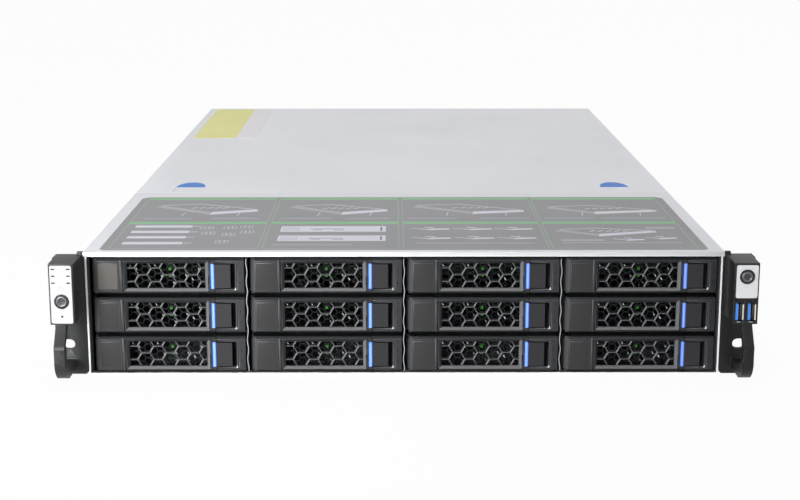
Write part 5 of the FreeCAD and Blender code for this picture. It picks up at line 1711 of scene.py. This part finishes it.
class RACK_OT_power_supplies(bpy.types.Operator):
    """Fan grille, mains pins, lamp and screws on each power supply"""
    bl_idname = "rack.power_supplies"
    bl_label = "Power supplies"

    def execute(self, context):
        parts = Piece()
        self.grille(parts)
        self.inlet(parts)
        parts.lathe("lamp_green", (63.0, SUPPLY_REAR, 34.0), SUPPLY_LAMP, steps=16)
        for across, up in SUPPLY_CORNERS:
            parts.lathe("screw", (across, SUPPLY_REAR, up), SUPPLY_SCREW, steps=14)
        parts.box("white", (14.0, 30.0, 39.5), (60.0, 96.0, 39.58))
        mesh = parts.done("supply_parts")
        for number in (1, 2):
            body = "psu_%d" % number
            add(mesh, "supply_parts_%d" % number, body, low(body))
            self.pull_tab(number)
        return {"FINISHED"}

    def grille(self, parts):
        """Rings and spokes of wire over the fan, with its hub behind them on a dark disc of painted
        shade.
        """
        middle = (GRILLE_ACROSS, SUPPLY_MIDDLE)
        hub = (GRILLE_ACROSS, SUPPLY_REAR, SUPPLY_MIDDLE)
        for radius in GRILLE_RINGS:
            parts.wire("chrome", hub, radius, 0.45, -1.3, -0.5, steps=32)
        for turn in range(0, 360, 60):
            spoke = stroke(heading(turn, 3.5, middle), heading(turn, 15.8, middle), 0.9)
            parts.prism("chrome", spoke, SUPPLY_REAR - 1.3, SUPPLY_REAR - 0.5, "Y")
        parts.lathe("recess", hub, [(-1.9, 15.9), (-1.9, 0.0)])
        parts.lathe("fan", hub, [(-1.9, 6.0), (-1.5, 5.6), (-1.4, 0.0)])

    def inlet(self, parts):
        """The three mains pins and the collar round them."""
        for across, up in PINS:
            pin = parts.box("gold", (across - 1.0, SUPPLY_REAR - 13.5, SUPPLY_MIDDLE + up - 1.8),
                            (across + 1.0, SUPPLY_REAR - 1.0, SUPPLY_MIDDLE + up + 2.2))
            parts.soften(0.3, 1, edges=pin)
        parts.plate("black", rounded(31.45, 60.2, 8.6, 30.9, 1.6, 3),
                    [rounded(31.75, 58.65, 10.3, 29.2, 1.2, 3)], SUPPLY_REAR, SUPPLY_REAR + 0.9)

    def pull_tab(self, number):
        """The spring latch with a soft edge and grip ribs."""
        node = "psu_latch_%d" % number
        piece = Piece()
        piece.take("tab", node)
        piece.soften(0.35, 2, 1.0)
        start, end = low(node), high(node)
        for step in range(5):
            up = start.z + 4.0 + step * 3.4
            rib = piece.box("tab", (end.x - 1.9, end.y - 7.0, up),
                            (end.x - 1.5, end.y - 1.5, up + 1.2))
            piece.soften(0.15, 1, 0.3, edges=rib)
        piece.ride(node + "_tab", node, "latch_tab", [node])


# Places of screws, as (distance behind the front, height).
WALL_SCREWS = ((80.0, 12.0), (80.0, 76.0), (155.0, 12.0), (155.0, 76.0), (262.0, 20.0),
               (300.0, 20.0), (420.0, 12.0), (560.0, 12.0), (705.0, 12.0), (705.0, 70.0),
               (340.0, 70.0), (500.0, 70.0))
BRACKET_SCREWS = ((20.0, 10.0), (20.0, 76.0), (48.0, 10.0), (48.0, 76.0))
BRACKET_SIDE = 220.8
SPRINGS = (-108.5, 0.0, 108.5)
WAVE_HEIGHT, WAVE_LENGTH = 0.42, 13.9


class RACK_OT_side_screws(bpy.types.Operator):
    """Countersunk screws on the chassis sides and springs between the drive columns"""
    bl_idname = "rack.side_screws"
    bl_label = "Side screws"

    def execute(self, context):
        wall = high("chassis_tray").x
        screws = Piece()
        for side in (-1, 1):
            for along, up in WALL_SCREWS:
                self.screw(screws, side, (side * wall, along, up), 2.9, 1.5)
            for along, up in BRACKET_SCREWS:
                self.screw(screws, side, (side * BRACKET_SIDE, along, up), 2.6, 1.3)
        screws.ride("side_screws", "chassis", "galvanised_steel")
        springs = Piece()
        for across in SPRINGS:
            self.spring(springs, across)
        springs.ride("column_springs", "chassis", "galvanised_steel")
        return {"FINISHED"}

    def screw(self, screws, side, at, head, socket):
        """A flat head with a round drive socket."""
        screws.lathe("screw", at, [(0.0, head), (side * 0.25, head - 0.2), (side * 0.3, socket),
                                   (side * 0.05, socket - 0.2), (side * 0.05, 0.0)], "X", 18)

    def spring(self, springs, across):
        """A thin strip whose waves press on the neighbouring carriers."""
        points = []
        for step in range(41):
            up = 2.0 + step * 2.0
            wave = math.sin(up * 2 * math.pi / WAVE_LENGTH)
            points.append((across + WAVE_HEIGHT * wave, up))
        for one, two in zip(points, points[1:]):
            springs.prism("spring", stroke(one, two, 0.45), 2.4, 3.6, "Y")


# ---------------------------------------------------------------------------------------------
# Panel and registration
# ---------------------------------------------------------------------------------------------

OPERATORS = [RACK_OT_stage, RACK_OT_covers, RACK_OT_cover_label, RACK_OT_cover_marks,
             RACK_OT_carriers, RACK_OT_levers, RACK_OT_bay_screens, RACK_OT_release_buttons,
             RACK_OT_ears, RACK_OT_panels, RACK_OT_chassis, RACK_OT_board_parts, RACK_OT_memory,
             RACK_OT_fans, RACK_OT_backplane_parts, RACK_OT_rear_panel, RACK_OT_power_supplies,
             RACK_OT_side_screws]


class RACK_PT_sidebar(bpy.types.Panel):
    """Lists the server's pieces in the sidebar"""
    bl_label = "Rack Server"
    bl_idname = "RACK_PT_sidebar"
    bl_space_type = "VIEW_3D"
    bl_region_type = "UI"
    bl_category = "Rack Server"

    def draw(self, context):
        scene = context.scene
        for group in (scene.rack_finishes, scene.rack_details, scene.rack_studio):
            box = self.layout.box()
            for words in group.bl_rna.properties.keys():
                if words not in ("rna_type", "name"):
                    box.prop(group, words)
        for operator in OPERATORS:
            self.layout.operator(operator.bl_idname)


GROUPS = {"rack_finishes": RackFinishes, "rack_details": RackDetails, "rack_studio": RackStudio}
CLASSES = list(GROUPS.values()) + OPERATORS + [RACK_PT_sidebar]


def register():
    """Makes the operators, the panel and the three groups of values known."""
    for item in CLASSES:
        bpy.utils.register_class(item)
    for words, group in GROUPS.items():
        setattr(bpy.types.Scene, words, PointerProperty(type=group))


def unregister():
    """Takes them away again."""
    for words in GROUPS:
        delattr(bpy.types.Scene, words)
    for item in reversed(CLASSES):
        bpy.utils.unregister_class(item)


def main():
    """Makes every piece in order, then works out the CAD box and the dressed box."""
    register()
    for operator in OPERATORS:
        group, words = operator.bl_idname.split(".")
        getattr(getattr(bpy.ops, group), words)()
    boxes = {"cad": CAD_BOX, "visual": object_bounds()}
    {words: [list(corner) for corner in box] for words, box in boxes.items()}


if __name__ == "__main__":
    main()
